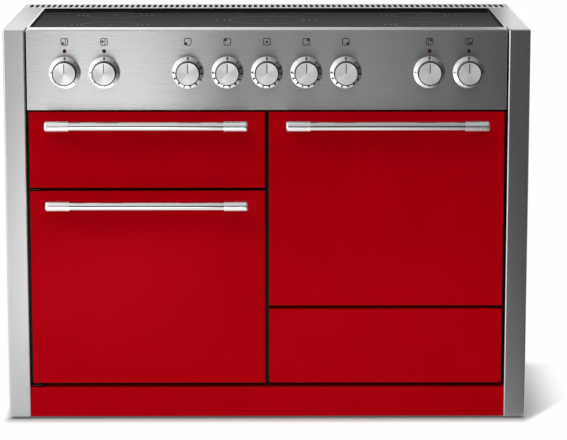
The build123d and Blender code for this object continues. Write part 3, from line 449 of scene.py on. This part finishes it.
def wound_copper(name):
    """Copper whose shade, gloss and bump follow a wave in rings, about 6 mm from crest to
    crest, as wound turns do."""
    finish, shader = new_finish(name, {"Metallic": 1.0})
    where = pattern_space(finish, (TURNS, TURNS, TURNS), (COIL_X, coil_y, 0))
    look = {"Vector": where, "Scale": 1.0, "Distortion": 0.4}
    turns = add(finish, "TexWave", look, wave_type="RINGS", rings_direction="Z").outputs[1]
    feed(
        finish,
        shader,
        Base_Color=tint(finish, turns, (0.30, 0.12, 0.055), (0.72, 0.36, 0.20), 0, 1),
        Roughness=spread(finish, turns, 0.25, 0.45, 0, 1),
        Normal=bump(finish, turns, 0.0004),
    )
    return finish


copper = wound_copper("copper_wound")
print("copper:", copper.name, "centre", round(coil_y, 4))

# %% [markdown]
# ## Dressing the solids
# Each solid already carries the name of its material from the record, so the finishes could
# be looked up from a long list of pieces. It is shorter to say which finish each of those
# names stands for, and to name the few pieces whose grain or centre differs.

# %% Finishes on the solids
FINISH_OF = {
    "brushed_steel": steel_front,
    "red_enamel": red_enamel,
    "black_enamel": black_enamel,
    "oven_enamel": oven_enamel,
    "hob_glass": hob_glass,
    "galvanised": zinc,
    "rack_wire": wire,
    "rubber": rubber,
    "black_plastic": plastic,
    "lamp_red": lamp_red,
    "copper": copper,
    "board": board,
    "wool": wool,
    "heater": heater,
}
FINISH_BY_NAME = {
    "left_side_panel": steel_round_painted_pale_tops,
    "right_side_panel": steel_round_painted_pale_tops,
    "knob_bezels": bezel_plate,
    "rear_vent": steel_vent_painted_pale,
    "hinge_brackets": black_enamel,
}


def middle(node):
    """The centre of a solid's box, as three numbers."""
    low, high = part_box(node)
    return tuple((low + high) / 2)


for name, solid in solids.items():
    made_of = solid.material_slots[0].material.name
    finish = FINISH_BY_NAME.get(name) or FINISH_OF.get(made_of)
    low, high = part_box(name)
    if made_of == "knob_metal":
        finish = turned_metal("turned_" + name, middle(name), low.y)
    if name.endswith("_handle"):
        finish = handle_plate("plate_" + name, low.x, high.x)
    solid.material_slots[0].material = finish
print("dressed", len(solids), "solids")

# %% [markdown]
# ## Surfaces from numbers
# The added pieces are small and exact: printed marks, rings, beads. Each could be modelled
# by hand from a primitive. Here each is an outline and a height worked out with numpy, so
# that one loop function makes the seal round the hob as well as the rim of a lamp.

# %% Outline helpers
def round_box(width, height, radius, steps=6):
    """Points and outward normals, counter-clockwise, of a box whose corners are arcs.

    A point is its corner's arc centre plus radius times (cos t, sin t), and that pair is
    also the normal; t runs through one quarter turn for each corner."""
    quarter = np.linspace(0, np.pi / 2, steps)
    turn = (quarter[None, :] + np.arange(4)[:, None] * np.pi / 2).ravel()
    normal = np.stack([np.cos(turn), np.sin(turn)], axis=1)
    corner = np.array([[1, 1], [-1, 1], [-1, -1], [1, -1]], float).repeat(steps, axis=0)
    return corner * [width / 2 - radius, height / 2 - radius] + radius * normal, normal


def circle(radius, steps=48):
    """Points and outward normals of a circle: radius times (cos t, sin t)."""
    turn = np.arange(steps) * 2 * np.pi / steps
    normal = np.stack([np.cos(turn), np.sin(turn)], axis=1)
    return radius * normal, normal


def quads(rows, columns, wrap_rows):
    """Four corner numbers for each cell of a grid that closes along its columns."""
    i = np.arange(rows if wrap_rows else rows - 1)[:, None]
    j = np.arange(columns)[None, :]
    k = (j + 1) % columns
    below, above = i * columns, ((i + 1) % rows) * columns
    corners = np.broadcast_arrays(below + j, below + k, above + k, above + j)
    return np.stack(corners, -1).reshape(-1, 4)


def boss(outline, foot, top, edge):
    """A closed raised mark: three copies of the outline, at the foot, just under the top and,
    drawn in by edge along the normals, at the top, joined by quads and closed by two caps."""
    points, normal = outline
    count = len(points)
    rings = [(points, foot), (points, top - edge), (points - edge * normal, top)]
    local = np.concatenate([np.column_stack([p, np.full(count, h)]) for p, h in rings])
    faces = quads(3, count, False).tolist()
    faces.append(list(range(count))[::-1])
    faces.append(list(range(2 * count, 3 * count)))
    return local, faces


def loop(outline, section):
    """A section carried round an outline: point + u times normal, at height v, for each
    (u, v) of the closed, counter-clockwise section."""
    points, normal = outline
    section = np.asarray(section, float)
    flat = points[None, :, :] + section[:, None, :1] * normal[None, :, :]
    height = np.broadcast_to(section[:, None, 1:], (len(section), len(points), 1))
    local = np.concatenate([flat, height], axis=2).reshape(-1, 3)
    return local, quads(len(section), len(points), True).tolist()


print("outline helpers ready")

# %% [markdown]
# ## Setting pieces in place
# An outline lies flat. It has to stand on the front of the panel, lie on the glass, or lean
# on the slope of a bezel. Turning objects would do it, but then their patterns turn as well.
# The turn goes into the points instead, and the object stays at the origin.

# %% Placing helpers
FRONT_FACE = np.array([[1, 0, 0], [0, 0, 1], [0, -1, 0]], float)
TOP_FACE = np.eye(3)


def place(local, origin, axes):
    """origin + a times right + b times up + c times out, for each local (a, b, c)."""
    return np.asarray(origin, float) + local @ axes


def merge(shapes):
    """One list of points and faces from several, with the face numbers moved on."""
    starts = np.cumsum([0] + [len(points) for points, _ in shapes])
    faces = [[v + s for v in face] for (_, fs), s in zip(shapes, starts.tolist()) for face in fs]
    return np.concatenate([points for points, _ in shapes]), faces


def piece(name, shape, finish, body):
    """One object at the origin from points and faces, on the body that carries it."""
    points, faces = shape
    mesh = bpy.data.meshes.new(name)
    mesh.from_pydata(points.tolist(), [], faces)
    mesh.polygons.foreach_set("use_smooth", np.ones(len(mesh.polygons), bool))
    mesh.set_sharp_from_angle(angle=math.radians(40))
    mesh.materials.append(finish)
    made = bpy.data.objects.new(name, mesh)
    bpy.context.scene.collection.objects.link(made)
    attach(made, body)
    print(name, len(mesh.polygons), "faces on", body)
    return made


print("placing helpers ready")

# %% [markdown]
# ## The seal round the glass
# The glass does not touch its steel trim: a bead of black silicone fills the gap and stops
# spills. A tube along a rounded box would stand too high, so the section is a hollow fillet:
# it starts just under the face of the glass and climbs the wall of the trim to its top.

# %% Glass seal
SEAL_GAP = 0.0045
SEAL_LOW = 0.0056
SEAL_HIGH = 0.0117
SEAL_FOOT = 0.0001
SEAL_CORNER = 0.006
ARCH_STEPS = 9

glass_low, glass_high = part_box("hob_glass")
glass_w, glass_d = glass_high.x - glass_low.x, glass_high.y - glass_low.y
glass_mid = (glass_low + glass_high) / 2
climb = np.linspace(1, -1, ARCH_STEPS)
half_gap = SEAL_GAP / 2 - SEAL_FOOT
hollow = ((climb + 1) / 2) ** 2
seal_top = np.column_stack([half_gap * climb, SEAL_LOW + (SEAL_HIGH - SEAL_LOW) * hollow])
seal_section = np.vstack([seal_top, [[-half_gap, SEAL_FOOT], [half_gap, SEAL_FOOT]]])
seal_path = round_box(glass_w + SEAL_GAP, glass_d + SEAL_GAP, SEAL_CORNER)
seal_points, seal_faces = loop(seal_path, seal_section)
seal_at = (glass_mid.x, glass_mid.y, glass_low.z)
silicone = enamel("silicone_black", grey(0.002), grey(0.004), 0.6, 0.08)
piece("glass_seal", (place(seal_points, seal_at, TOP_FACE), seal_faces), silicone, "cabinet")

# %% [markdown]
# ## Cooking zones
# Fine grey lines printed on the glass show where a pan goes. They are thinner than a pixel in
# the photograph, so they read as faint arcs and dots. They could be a texture on the glass;
# as raised rings a tenth of a millimetre high they stay sharp from any distance.

# %% Zone marks
PRINT_UP = 0.00012
PRINT_IN = -0.00006
LINE = 0.0011

zone_ink = grained("zone_ink_grey", grey(0.16), grey(0.22), 0.5, FINE, 0.00001)


def ink_line(outline, width=LINE):
    """A flat printed line along an outline: a thin box section carried round it."""
    half = width / 2
    section = [[half, PRINT_IN], [half, PRINT_UP], [-half, PRINT_UP], [-half, PRINT_IN]]
    return loop(outline, section)


def ink_spot(outline):
    """A flat printed spot inside an outline."""
    return boss(outline, PRINT_IN, PRINT_UP, PRINT_UP / 4)


def on_glass(shape, x, y):
    """The shape laid on the hob at x, y."""
    return place(shape[0], (x, y, glass_high.z), TOP_FACE), shape[1]


COIL_STEP = 0.112
BIG_ZONE, SMALL_ZONE = 0.120, 0.090
RING_SHARE = 0.75
DOT_PLACES = (-1.0, -0.85, 0.85, 1.0)
MIDDLE_DOT, SIDE_DOT = 0.003, 0.0026

zones = [(0.0, coil_y, BIG_ZONE)]
corners = [(side, end) for side in (-1, 1) for end in (-1, 1)]
zones += [(side * COIL_X, coil_y + end * COIL_STEP, SMALL_ZONE) for side, end in corners]
marks = []
for x, y, reach in zones:
    marks.append(on_glass(ink_line(circle(reach * RING_SHARE, 96), LINE / 2), x, y))
    marks.append(on_glass(ink_spot(circle(MIDDLE_DOT, 16)), x, y))
    for out in DOT_PLACES:
        marks.append(on_glass(ink_spot(circle(SIDE_DOT, 16)), x + out * reach, y))
piece("zone_marks", merge(marks), zone_ink, "cabinet")

# %% [markdown]
# ## Painted shade in the vent
# The slots at the back let the cooling air out, and under them there is only shade. A thin
# black plate from wall to wall, just under the slots, paints that shade, so the slots read
# dark from anywhere outside. It could be a woven mesh, but its holes would be finer than a
# pixel from anywhere outside, so a thin dark plate from wall to wall does the same.

# %% Vent painted shade
VENT_WALL = 0.0016
PAINTED_SHADE_DROP = 0.0045
PAINTED_SHADE_T = 0.001
PAINTED_SHADE_CORNER = 0.002
PAINTED_SHADE_EDGE = 0.0001

vent_low, vent_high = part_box("rear_vent")
vent_mid = (vent_low + vent_high) / 2
painted_shade_w = vent_high.x - vent_low.x - 2 * VENT_WALL
painted_shade_d = vent_high.y - vent_low.y - 2 * VENT_WALL
# painted shade: a black plate that stands for the shade inside the slots
painted_shade = boss(round_box(painted_shade_w, painted_shade_d, PAINTED_SHADE_CORNER), -PAINTED_SHADE_T, 0.0, PAINTED_SHADE_EDGE)
painted_shade_at = (vent_mid.x, vent_mid.y, vent_high.z - PAINTED_SHADE_DROP)
painted_shade_points = place(painted_shade[0], painted_shade_at, TOP_FACE)
piece("vent_painted_shade", (painted_shade_points, painted_shade[1]), black_enamel, "cabinet")

# %% [markdown]
# ## Pointers in the knobs
# Each knob has a groove from its middle to its top edge, filled with dark paint, so that a
# cook can see where it points. The groove is in the solid. The paint is a rounded bar laid
# in it, and it rides on the knob, so it turns when the knob does.

# %% Knob pointers
POINTER_W = 0.0021
POINTER_SIDE = 0.0011
GROOVE = 0.0006
PAINT_GAP = 0.00002
PAINT_SHARE = 0.8
PAINT_EDGE = 0.0001
KNOB_COUNT = 9
EDGE_KEEP = 0.00635

pointer_paint = grained("pointer_paint", grey(0.020), grey(0.032), 0.45, FINE, 0.00001)
knob_at = {}
for number in range(1, KNOB_COUNT + 1):
    node = f"knob_{number}"
    low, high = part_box(node)
    knob_at[number] = ((low.x + high.x) / 2, (low.z + high.z) / 2)
    length = (high.z - low.z) / 2 - EDGE_KEEP
    outline = round_box(POINTER_W, length, POINTER_W * 0.45)
    bar = boss(outline, PAINT_GAP, GROOVE * PAINT_SHARE, PAINT_EDGE)
    x, z = knob_at[number]
    at = (x, low.y + GROOVE, z + POINTER_SIDE + length / 2)
    piece(f"pointer_{number}", (place(bar[0], at, FRONT_FACE), bar[1]), pointer_paint, node)

# %% [markdown]
# ## Scales on the bezels
# Round each knob lies a bright cone. The five hob dials carry a 0 at the top, the steps 1 to 9
# and a boost mark; the four oven dials carry a 0 and plain ticks. Both scales end at three
# quarters of a turn, where the knobs stop. A texture would stretch on a cone, so each mark is
# a tiny solid that this function leans on the slope.

# %% Bezel slope
BEZEL_R = 0.03675
BEZEL_LIP_R = 0.02655
BEZEL_EDGE = 0.001
BEZEL_RISE = 0.003
SCALE_R = 0.0322

panel_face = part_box("control_panel")[0].y
slope = BEZEL_RISE / (BEZEL_R - BEZEL_LIP_R)


def on_bezel(shape, number, clock):
    """The shape leaned on a bezel's cone, clock degrees round from the top: right follows
    the rim, up runs outwards down the slope, and out stands square on it."""
    x, z = knob_at[number]
    t = math.radians(clock)
    away = np.array([math.sin(t), 0, math.cos(t)])
    along = np.array([math.cos(t), 0, -math.sin(t)])
    back = np.array([0, 1.0, 0])
    steep = math.hypot(1, slope)
    axes = np.array([along, (away + slope * back) / steep, (slope * away - back) / steep])
    height = BEZEL_EDGE + slope * (BEZEL_R - SCALE_R)
    origin = np.array([x, panel_face - height, z]) + SCALE_R * away
    return place(shape[0], origin, axes), shape[1]


print("bezel slope", round(slope, 3))

# %% [markdown]
# ## Figures on the hob dials
# The figures are printed on the cone. Drawing their outlines as curves by hand would take long,
# and Blender has a typeface built in, so each figure is a text object turned into a mesh once
# and used again on all five dials. A text mesh has doubled points along its edges; merged, and
# with its faces turned outwards, it is a closed solid like the other pieces.

# %% Figures for the dials
FIGURE_H = 0.0074
FIGURE_UP = 0.00012
FIGURE_BOLD = 0.0008


def figure(text):
    """Points and faces of one printed figure, made from text, its doubled points merged."""
    drawn = bpy.data.curves.new("figure", "FONT")
    drawn.body = text
    drawn.size = FIGURE_H
    drawn.align_x, drawn.align_y = "CENTER", "CENTER"
    drawn.extrude = FIGURE_UP
    drawn.offset = FIGURE_BOLD
    drawn.resolution_u = 3
    holder = bpy.data.objects.new("figure", drawn)
    flat = bpy.data.meshes.new_from_object(holder)
    merged = bmesh.new()
    merged.from_mesh(flat)
    bmesh.ops.remove_doubles(merged, verts=merged.verts, dist=1e-7)
    bmesh.ops.recalc_face_normals(merged, faces=merged.faces)
    merged.to_mesh(flat)
    merged.free()
    points = np.zeros(len(flat.vertices) * 3, np.float32)
    flat.vertices.foreach_get("co", points)
    faces = [list(face.vertices) for face in flat.polygons]
    bpy.data.objects.remove(holder)
    bpy.data.curves.remove(drawn)
    bpy.data.meshes.remove(flat)
    return points.reshape(-1, 3).astype(float), faces


HOB_DIALS = range(3, 8)
OVEN_DIALS = (1, 2, 8, 9)
FIRST_STEP = 45
STEP = 25
dial_ink = grained("dial_ink_dark", grey(0.005), grey(0.009), 0.6, FINE, 0.00001)
steps = {text: figure(text) for text in "0123456789P"}
scale = []
for dial in HOB_DIALS:
    scale.append(on_bezel(steps["0"], dial, 0))
    for count, text in enumerate("123456789P"):
        scale.append(on_bezel(steps[text], dial, FIRST_STEP + STEP * count))
piece("hob_scales", merge(scale), dial_ink, "cabinet")

# %% [markdown]
# ## Ticks on the oven dials
# An oven dial shows its temperatures as long and short ticks. A tick is a flat rounded bar, so
# the printed spot made for the cooking zones does for it, leaned on the cone like a figure.

# %% Ticks for the oven dials
TICK_LONG = (0.0018, 0.0046)
TICK_SHORT = (0.0014, 0.0026)
TICKS = 11
SWEEP = STEP * 9

ticks = []
for dial in OVEN_DIALS:
    ticks.append(on_bezel(steps["0"], dial, 0))
    for count in range(TICKS):
        wide, tall = TICK_SHORT if count % 2 else TICK_LONG
        mark = ink_spot(round_box(wide, tall, wide * 0.45, 4))
        ticks.append(on_bezel(mark, dial, FIRST_STEP + SWEEP * count / (TICKS - 1)))
piece("oven_scales", merge(ticks), dial_ink, "cabinet")

# %% [markdown]
# ## Signs above the knobs
# A small square above each hob knob shows the hob from above, with a spot on the zone that
# the knob serves; an oven sign shows the range from the front, parted by a wall, with a spot
# where its compartment lies. They are printed on the panel, so each is a rounded outline with a
# spot, and for the ovens a bar, raised by a tenth of a millimetre.

# %% Signs
SIGN_W = 0.0152
SIGN_LINE = 0.0018
SIGN_CORNER = 0.003
SIGN_Z = 0.8945
SPOT = 0.0030
SPOT_OUT = 0.0038
WALL_W = 0.0018
WALL_OUT = 0.0022
SPOTS = {3: (-1, -1), 4: (-1, 1), 5: (0, 0), 6: (1, 1), 7: (1, -1)}
OVEN_SPOTS = {1: (-0.9, -0.9), 2: (-0.9, 0.1), 8: (0.9, 0.9), 9: (0.9, -0.9)}

sign_box = ink_line(round_box(SIGN_W, SIGN_W, SIGN_CORNER), SIGN_LINE)
signs = []
for dial, (x, _) in knob_at.items():
    here = (x, panel_face, SIGN_Z)
    signs.append((place(sign_box[0], here, FRONT_FACE), sign_box[1]))
    side, end = SPOTS.get(dial) or OVEN_SPOTS[dial]
    spot = ink_spot(circle(SPOT, 16))
    at = (x + side * SPOT_OUT, panel_face, SIGN_Z + end * SPOT_OUT)
    signs.append((place(spot[0], at, FRONT_FACE), spot[1]))
    if dial in OVEN_SPOTS:
        wall = ink_spot(round_box(WALL_W, SIGN_W, WALL_W * 0.4, 4))
        at = (x - math.copysign(WALL_OUT, side), panel_face, SIGN_Z)
        signs.append((place(wall[0], at, FRONT_FACE), wall[1]))
piece("knob_signs", merge(signs), dial_ink, "cabinet")

# %% [markdown]
# ## Rims round the lamps
# Four small red lamps sit between the knobs and their signs, each in a black rim. A torus
# would look like a washer; the rim's section is a quarter round with a flat inside, carried
# round a circle.

# %% Lamp rims
RIM_IN = 0.0031
RIM_OUT = 0.0046
RIM_UP = 0.0011
RIM_SINK = -0.00005

lamp_z = middle("indicator_lamps")[2]
bend = np.linspace(0, np.pi / 2, 6)
rim_w = RIM_OUT - RIM_IN
rim_section = np.vstack(
    [
        [[0, RIM_SINK], [rim_w, RIM_SINK]],
        np.column_stack([rim_w * np.cos(bend), RIM_UP * np.sin(bend)])[1:],
    ]
)
rim = loop(circle(RIM_IN, 40), rim_section)
rim_places = [(knob_at[dial][0], panel_face, lamp_z) for dial in OVEN_DIALS]
rims = [(place(rim[0], at, FRONT_FACE), rim[1]) for at in rim_places]
piece("lamp_rims", merge(rims), black_enamel, "cabinet")

# %% [markdown]
# ## The studio: floor
# The range stands on a plain pale floor that fades to white. A floor lit until it is white
# would also wash out the range. So only the part near the range is lit and takes its shadow,
# and further out the floor turns to a white of its own, for the camera and for mirrors. It
# turns white at once in front and on the left, and slowly on the right, where the shadow falls.

# %% Floor
FLOOR_HALF = 60.0
WHITE_REACH = 0.14
WHITE_SHARE = 0.06
FLOOR_GREY = 0.90
FOOT_FRONT = 0.278
FOOT_REAR = 0.24
FRONT_PACE = 3.5
FRONT_SLANT = 1.8
REAR_PACE = 1.2
LEFT_PACE = 8.0

floor_finish = bpy.data.materials.new("pale_floor")
floor_finish.use_nodes = True
floor_finish.cycles.emission_sampling = "NONE"
floor_tree = floor_finish.node_tree
floor_tree.nodes.remove(floor_tree.nodes["Principled BSDF"])
lit = add(floor_finish, "BsdfDiffuse", {"Color": (*grey(FLOOR_GREY), 1)}).outputs[0]
white = add(floor_finish, "Emission", {"Color": (1, 1, 1, 1), "Strength": 1.0}).outputs[0]
here = add(floor_finish, "TexCoord").outputs["Object"]
floor_x, floor_y, _ = add(floor_finish, "SeparateXYZ", {0: here}).outputs


def looked_at(finish):
    """One for a ray of the camera, of a mirror or through glass, and nothing for the rest."""
    ray = add(finish, "LightPath").outputs
    mirrored = both(finish, ray["Is Camera Ray"], ray["Is Glossy Ray"], "MAXIMUM")
    return both(finish, mirrored, ray["Is Transmission Ray"], "MAXIMUM")


def past(value, limit, pace):
    """How far a value lies beyond a limit, times pace, and nothing before the limit."""
    over = both(floor_finish, value, limit, "SUBTRACT")
    return both(floor_finish, both(floor_finish, over, 0.0, "MAXIMUM"), pace, "MULTIPLY")


right = past(floor_x, solid_high.x, 1.0)
left = past(both(floor_finish, 0.0, floor_x, "SUBTRACT"), solid_high.x, LEFT_PACE)
slant = both(floor_finish, right, FRONT_SLANT, "MULTIPLY")
ahead = past(both(floor_finish, slant, floor_y, "SUBTRACT"), FOOT_FRONT, FRONT_PACE)
behind = past(floor_y, FOOT_REAR, REAR_PACE)
off = {0: both(floor_finish, right, left, "ADD"), 1: both(floor_finish, ahead, behind, "ADD")}
off = add(floor_finish, "CombineXYZ", off).outputs[0]
away = add(floor_finish, "VectorMath", {0: off}, operation="LENGTH").outputs["Value"]
fade = {"Value": away, "From Max": WHITE_REACH, "To Min": WHITE_SHARE}
far = add(floor_finish, "MapRange", fade, interpolation_type="SMOOTHSTEP").outputs[0]
share = both(floor_finish, far, looked_at(floor_finish), "MULTIPLY")
mixed = add(floor_finish, "MixShader", {0: share, 1: lit, 2: white}).outputs[0]
floor_tree.links.new(mixed, floor_tree.nodes["Material Output"].inputs["Surface"])


def stage_piece(name, points, faces, finish):
    """A surface that belongs to the studio and not to the range."""
    mesh = bpy.data.meshes.new(name)
    mesh.from_pydata(np.asarray(points, float).tolist(), [], faces)
    mesh.materials.append(finish)
    made = bpy.data.objects.new(name, mesh)
    bpy.context.scene.collection.objects.link(made)
    return made


corners = np.array([[-1, -1, 0], [1, -1, 0], [1, 1, 0], [-1, 1, 0]]) * FLOOR_HALF
stage_piece("floor", corners, [[0, 1, 2, 3]], floor_finish)
print("floor half width", FLOOR_HALF)

# %% [markdown]
# ## The studio: sheets for mirrors
# Steel and glass look like what stands round them, and a photographer sets up sheets, flags
# and cards just for that. Real ones would also take light away and throw shadows. Here such a
# sheet shines by itself and is met by mirror rays alone, so it changes a reflection and
# nothing else.

# %% Sheets that glow for mirrors alone
def glow_sheet(name, points, faces, glow):
    """A studio sheet that shines by itself and is met by mirror rays and no others; glow is
    a function that gets the finish and its X, Y and Z and gives back the strength."""
    finish = bpy.data.materials.new(name)
    finish.use_nodes = True
    finish.cycles.emission_sampling = "NONE"
    tree = finish.node_tree
    tree.nodes.remove(tree.nodes["Principled BSDF"])
    spot = add(finish, "TexCoord").outputs["Object"]
    strength = glow(finish, *add(finish, "SeparateXYZ", {0: spot}).outputs)
    light = add(finish, "Emission", {"Color": (1, 1, 1, 1), "Strength": strength}).outputs[0]
    tree.links.new(light, tree.nodes["Material Output"].inputs["Surface"])
    made = stage_piece(name, points, faces, finish)
    made.visible_camera = False
    made.visible_diffuse = False
    made.visible_transmission = False
    made.visible_volume_scatter = False
    made.visible_shadow = False
    print(name, len(faces), "faces")


print("mirror sheets ready")

# %% [markdown]
# ## The studio: the dark room
# Beyond the pale floor a real studio is dark, and polished metal shows that dark as a line
# along the horizon. The camera looks down on the floor and never sees the room, so it could be
# left out, but then handles would show no line. The room is a wide bowl with a lid: dark in
# front, dim behind, white on the left, where the bezels find their bright side, and with a
# pale haze under the lid that is strongest on the left.

# %% Dark room
ROOM_IN = 2.7
ROOM_OUT = 7.0
ROOM_HIGH = 8.0
ROOM_SPOKES = 72
ROOM_RISES = 12
ROOM_LIFT = 0.005
WALL_DARK, WALL_DIM = 0.04, 0.16
WALL_AHEAD = (-5.0, -1.0)
LEFT_FLOOR = (-0.35, -1.2)
LEFT_FLOOR_WHITE = 0.5
FAR_LEFT = (-1.4, -2.2)
FAR_LEFT_WHITE = 0.75
FLOOR_EDGE = (0.01, 0.03)
LEFT_WALL = (-1.3, -2.5)
LEFT_WALL_WHITE = 1.5
WALL_BACK = (-1.0, 0.5)
HAZE_FROM, HAZE_TO = 2.5, 3.3
HAZE_LEFT, HAZE_RIGHT = 0.90, 0.29
HAZE_SIDE = 1.2
LID_HOLE = 0.05

turn = np.arange(ROOM_SPOKES) * 2 * np.pi / ROOM_SPOKES
reach = np.concatenate([[ROOM_IN], np.full(ROOM_RISES, ROOM_OUT), [LID_HOLE]])[:, None]
rise = np.concatenate([[0], np.linspace(0, ROOM_HIGH, ROOM_RISES), [ROOM_HIGH]])
rise = rise[:, None] + ROOM_LIFT
room_points = np.stack(
    np.broadcast_arrays(reach * np.cos(turn), reach * np.sin(turn), rise), axis=-1
).reshape(-1, 3)


def room_glow(finish, x, y, z):
    """Dark in front, dim at the right and behind, white at the left, first on the floor and
    further out on the wall too, and a pale haze over the top."""
    wall = spread(finish, y, WALL_DARK, WALL_DIM, *WALL_AHEAD)
    pale = spread(finish, x, HAZE_LEFT, HAZE_RIGHT, -HAZE_SIDE, HAZE_SIDE)
    haze = both(finish, pale, spread(finish, z, 0.0, 1.0, HAZE_FROM, HAZE_TO), "MULTIPLY")
    to_left = spread(finish, x, 0.0, LEFT_FLOOR_WHITE, *LEFT_FLOOR)
    to_left = both(finish, to_left, spread(finish, x, 0.0, FAR_LEFT_WHITE, *FAR_LEFT), "ADD")
    on_floor = spread(finish, z, 1.0, 0.0, *FLOOR_EDGE)
    white_floor = both(finish, to_left, on_floor, "MULTIPLY")
    in_front = spread(finish, y, 1.0, 0.0, *WALL_BACK)
    below = both(finish, in_front, spread(finish, z, 1.0, 0.0, HAZE_FROM, HAZE_TO), "MULTIPLY")
    out_left = spread(finish, x, 0.0, LEFT_WALL_WHITE, *LEFT_WALL)
    white_wall = both(finish, out_left, below, "MULTIPLY")
    white = both(finish, white_floor, white_wall, "MAXIMUM")
    return both(finish, both(finish, wall, haze, "ADD"), white, "ADD")


room_faces = quads(ROOM_RISES + 2, ROOM_SPOKES, False).tolist()
glow_sheet("dark_room", room_points, room_faces, room_glow)

# %% [markdown]
# ## The studio: two cloths
# The brushed panel is bright on its left and dark on its right, because it mirrors the floor in
# front, smeared up and down. A lamp could not do that without lighting the doors unevenly too.
# So a dark cloth lies on the right half of the floor and a bright one on the left, each fading
# into the floor at its inner edge.

# %% A dark and a bright cloth on the floor
CLOTH_X = (0.2, 3.0)
CLOTH_Y = (-3.3, -0.29)
CLOTH_LIFT = 0.004
CLOTH_FADE = (0.28, 0.72)
CLOTH_DARK = 0.10
BRIGHT_X = (-3.2, -0.1)
BRIGHT_FADE = (-0.14, -0.34)
BRIGHT_END = (-0.64, -0.80)
BRIGHT_END_SHARE = 0.05
BRIGHT_START = (-0.9, -1.7)
BRIGHT = 3.8


def sheet_corners(x, y):
    """The corners of a level sheet just over the floor."""
    flat = [(x[0], y[0]), (x[1], y[0]), (x[1], y[1]), (x[0], y[1])]
    return [[*corner, CLOTH_LIFT] for corner in flat]


def cloth_glow(finish, x, y, z):
    """As white as the floor on its left edge, darker to the right."""
    return spread(finish, x, 1.0, CLOTH_DARK, *CLOTH_FADE)


def bright_glow(finish, x, y, z):
    """As white as the floor on its right and near the range, brighter in front, in a band
    that ends again further to the left."""
    aside = spread(finish, x, 0.0, BRIGHT, *BRIGHT_FADE)
    band = spread(finish, x, 1.0, BRIGHT_END_SHARE, *BRIGHT_END)
    aside = both(finish, aside, band, "MULTIPLY")
    ahead = spread(finish, y, 0.0, 1.0, *BRIGHT_START)
    return both(finish, both(finish, aside, ahead, "MULTIPLY"), 1.0, "ADD")


glow_sheet("dark_cloth", sheet_corners(CLOTH_X, CLOTH_Y), [[0, 1, 2, 3]], cloth_glow)
glow_sheet("bright_cloth", sheet_corners(BRIGHT_X, CLOTH_Y), [[0, 1, 2, 3]], bright_glow)

# %% [markdown]
# ## The studio: a grey card
# Black glass at a low angle is a mirror, and a mirror of a dark room is a hole. A card behind
# the hob gives the glass its sheen: the back of the hob mirrors the card's dark foot, and the
# front the paler part above. Higher up the card is white for the rough steel of the level
# tops, and so are its two sides, which stand behind the pillars.

# %% Grey card
CARD_Y = 1.15
CARD_HALF = 3.0
CARD_LOW, CARD_HIGH = 0.93, 2.8
SHEEN_FROM, SHEEN_TO = 0.995, 1.075
SHEEN_DARK, SHEEN_PALE = 0.020, 0.150
CARD_SPAN = (-0.5, 0.5)
CARD_SIDE = (0.66, 0.70)
CARD_LEFT, CARD_RIGHT = 0.72, 1.7
BACK_FROM, BACK_TO = 1.4, 1.6
BACK_LEFT, BACK_RIGHT = 2.9, 0.80

card_points = [
    [-CARD_HALF, CARD_Y, CARD_LOW],
    [CARD_HALF, CARD_Y, CARD_LOW],
    [CARD_HALF, CARD_Y, CARD_HIGH],
    [-CARD_HALF, CARD_Y, CARD_HIGH],
]


def card_glow(finish, x, y, z):
    """Dark at the foot, paler above, white further up, most at the left, and white on both
    sides of the glass, most at the right."""
    sheen = spread(finish, z, SHEEN_DARK, SHEEN_PALE, SHEEN_FROM, SHEEN_TO)
    back = spread(finish, x, BACK_LEFT, BACK_RIGHT, *CARD_SPAN)
    back = both(finish, back, spread(finish, z, 0.0, 1.0, BACK_FROM, BACK_TO), "MULTIPLY")
    aside = add(finish, "Math", {0: x}, operation="ABSOLUTE").outputs[0]
    sides = spread(finish, aside, 0.0, 1.0, *CARD_SIDE)
    sides = both(finish, sides, spread(finish, x, CARD_LEFT, CARD_RIGHT, *CARD_SPAN), "MULTIPLY")
    return both(finish, both(finish, sheen, back, "MAXIMUM"), sides, "MAXIMUM")


glow_sheet("grey_card", card_points, [[0, 1, 2, 3]], card_glow)

# %% [markdown]
# ## The studio: lamps
# The key lamp stands high on the left and throws the shadow to the right; it is the only one
# that mirrors show. A large softbox above the camera lights the doors, a weaker one fills from
# the front and a narrow one near the floor lifts the plinth. One more, behind, shines along the
# level tops. A plain grey sky fills what they leave, and looked at it is as white as the floor.

# %% Lamps and world
SKY_GREY = 0.10


def softbox(name, at, aim, wide, tall, power, mirrored):
    """A rectangular lamp at a point, turned to look at another, seen in mirrors or not."""
    lamp = bpy.data.lights.new(name, "AREA")
    lamp.shape = "RECTANGLE"
    lamp.size, lamp.size_y = wide, tall
    lamp.energy = power
    made = bpy.data.objects.new(name, lamp)
    made.location = at
    made.rotation_euler = (Vector(aim) - Vector(at)).to_track_quat("-Z", "Y").to_euler()
    made.visible_camera = False
    made.visible_glossy = mirrored
    bpy.context.scene.collection.objects.link(made)
    return made


softbox("front_fill", (0, -4.2, 1.5), (0, -0.3, 0.4), 2.4, 1.4, 20, False)
softbox("low_fill", (0.15, -0.75, 0.14), (0.15, -0.3, 0.16), 2.4, 0.22, 1.5, False)
softbox("key_left", (-3.4, -2.6, 3.2), (-0.1, 0, 0.4), 1.3, 1.3, 40, True)
softbox("front_top", (-0.45, -2.7, 2.6), (-0.15, -0.3, 0.45), 2.7, 2.9, 54, False)
softbox("behind", (0.2, 2.6, 2.7), (0.1, 0.1, 0.9), 4.0, 1.2, 62, False)
world = bpy.data.worlds.new("studio")
bpy.context.scene.world = world
world.use_nodes = True
sky = world.node_tree.nodes["Background"].inputs
sky["Color"].default_value = (1, 1, 1, 1)
sky_level = spread(world, looked_at(world), SKY_GREY, 1.0, 0, 1)
world.node_tree.links.new(sky_level, sky["Strength"])
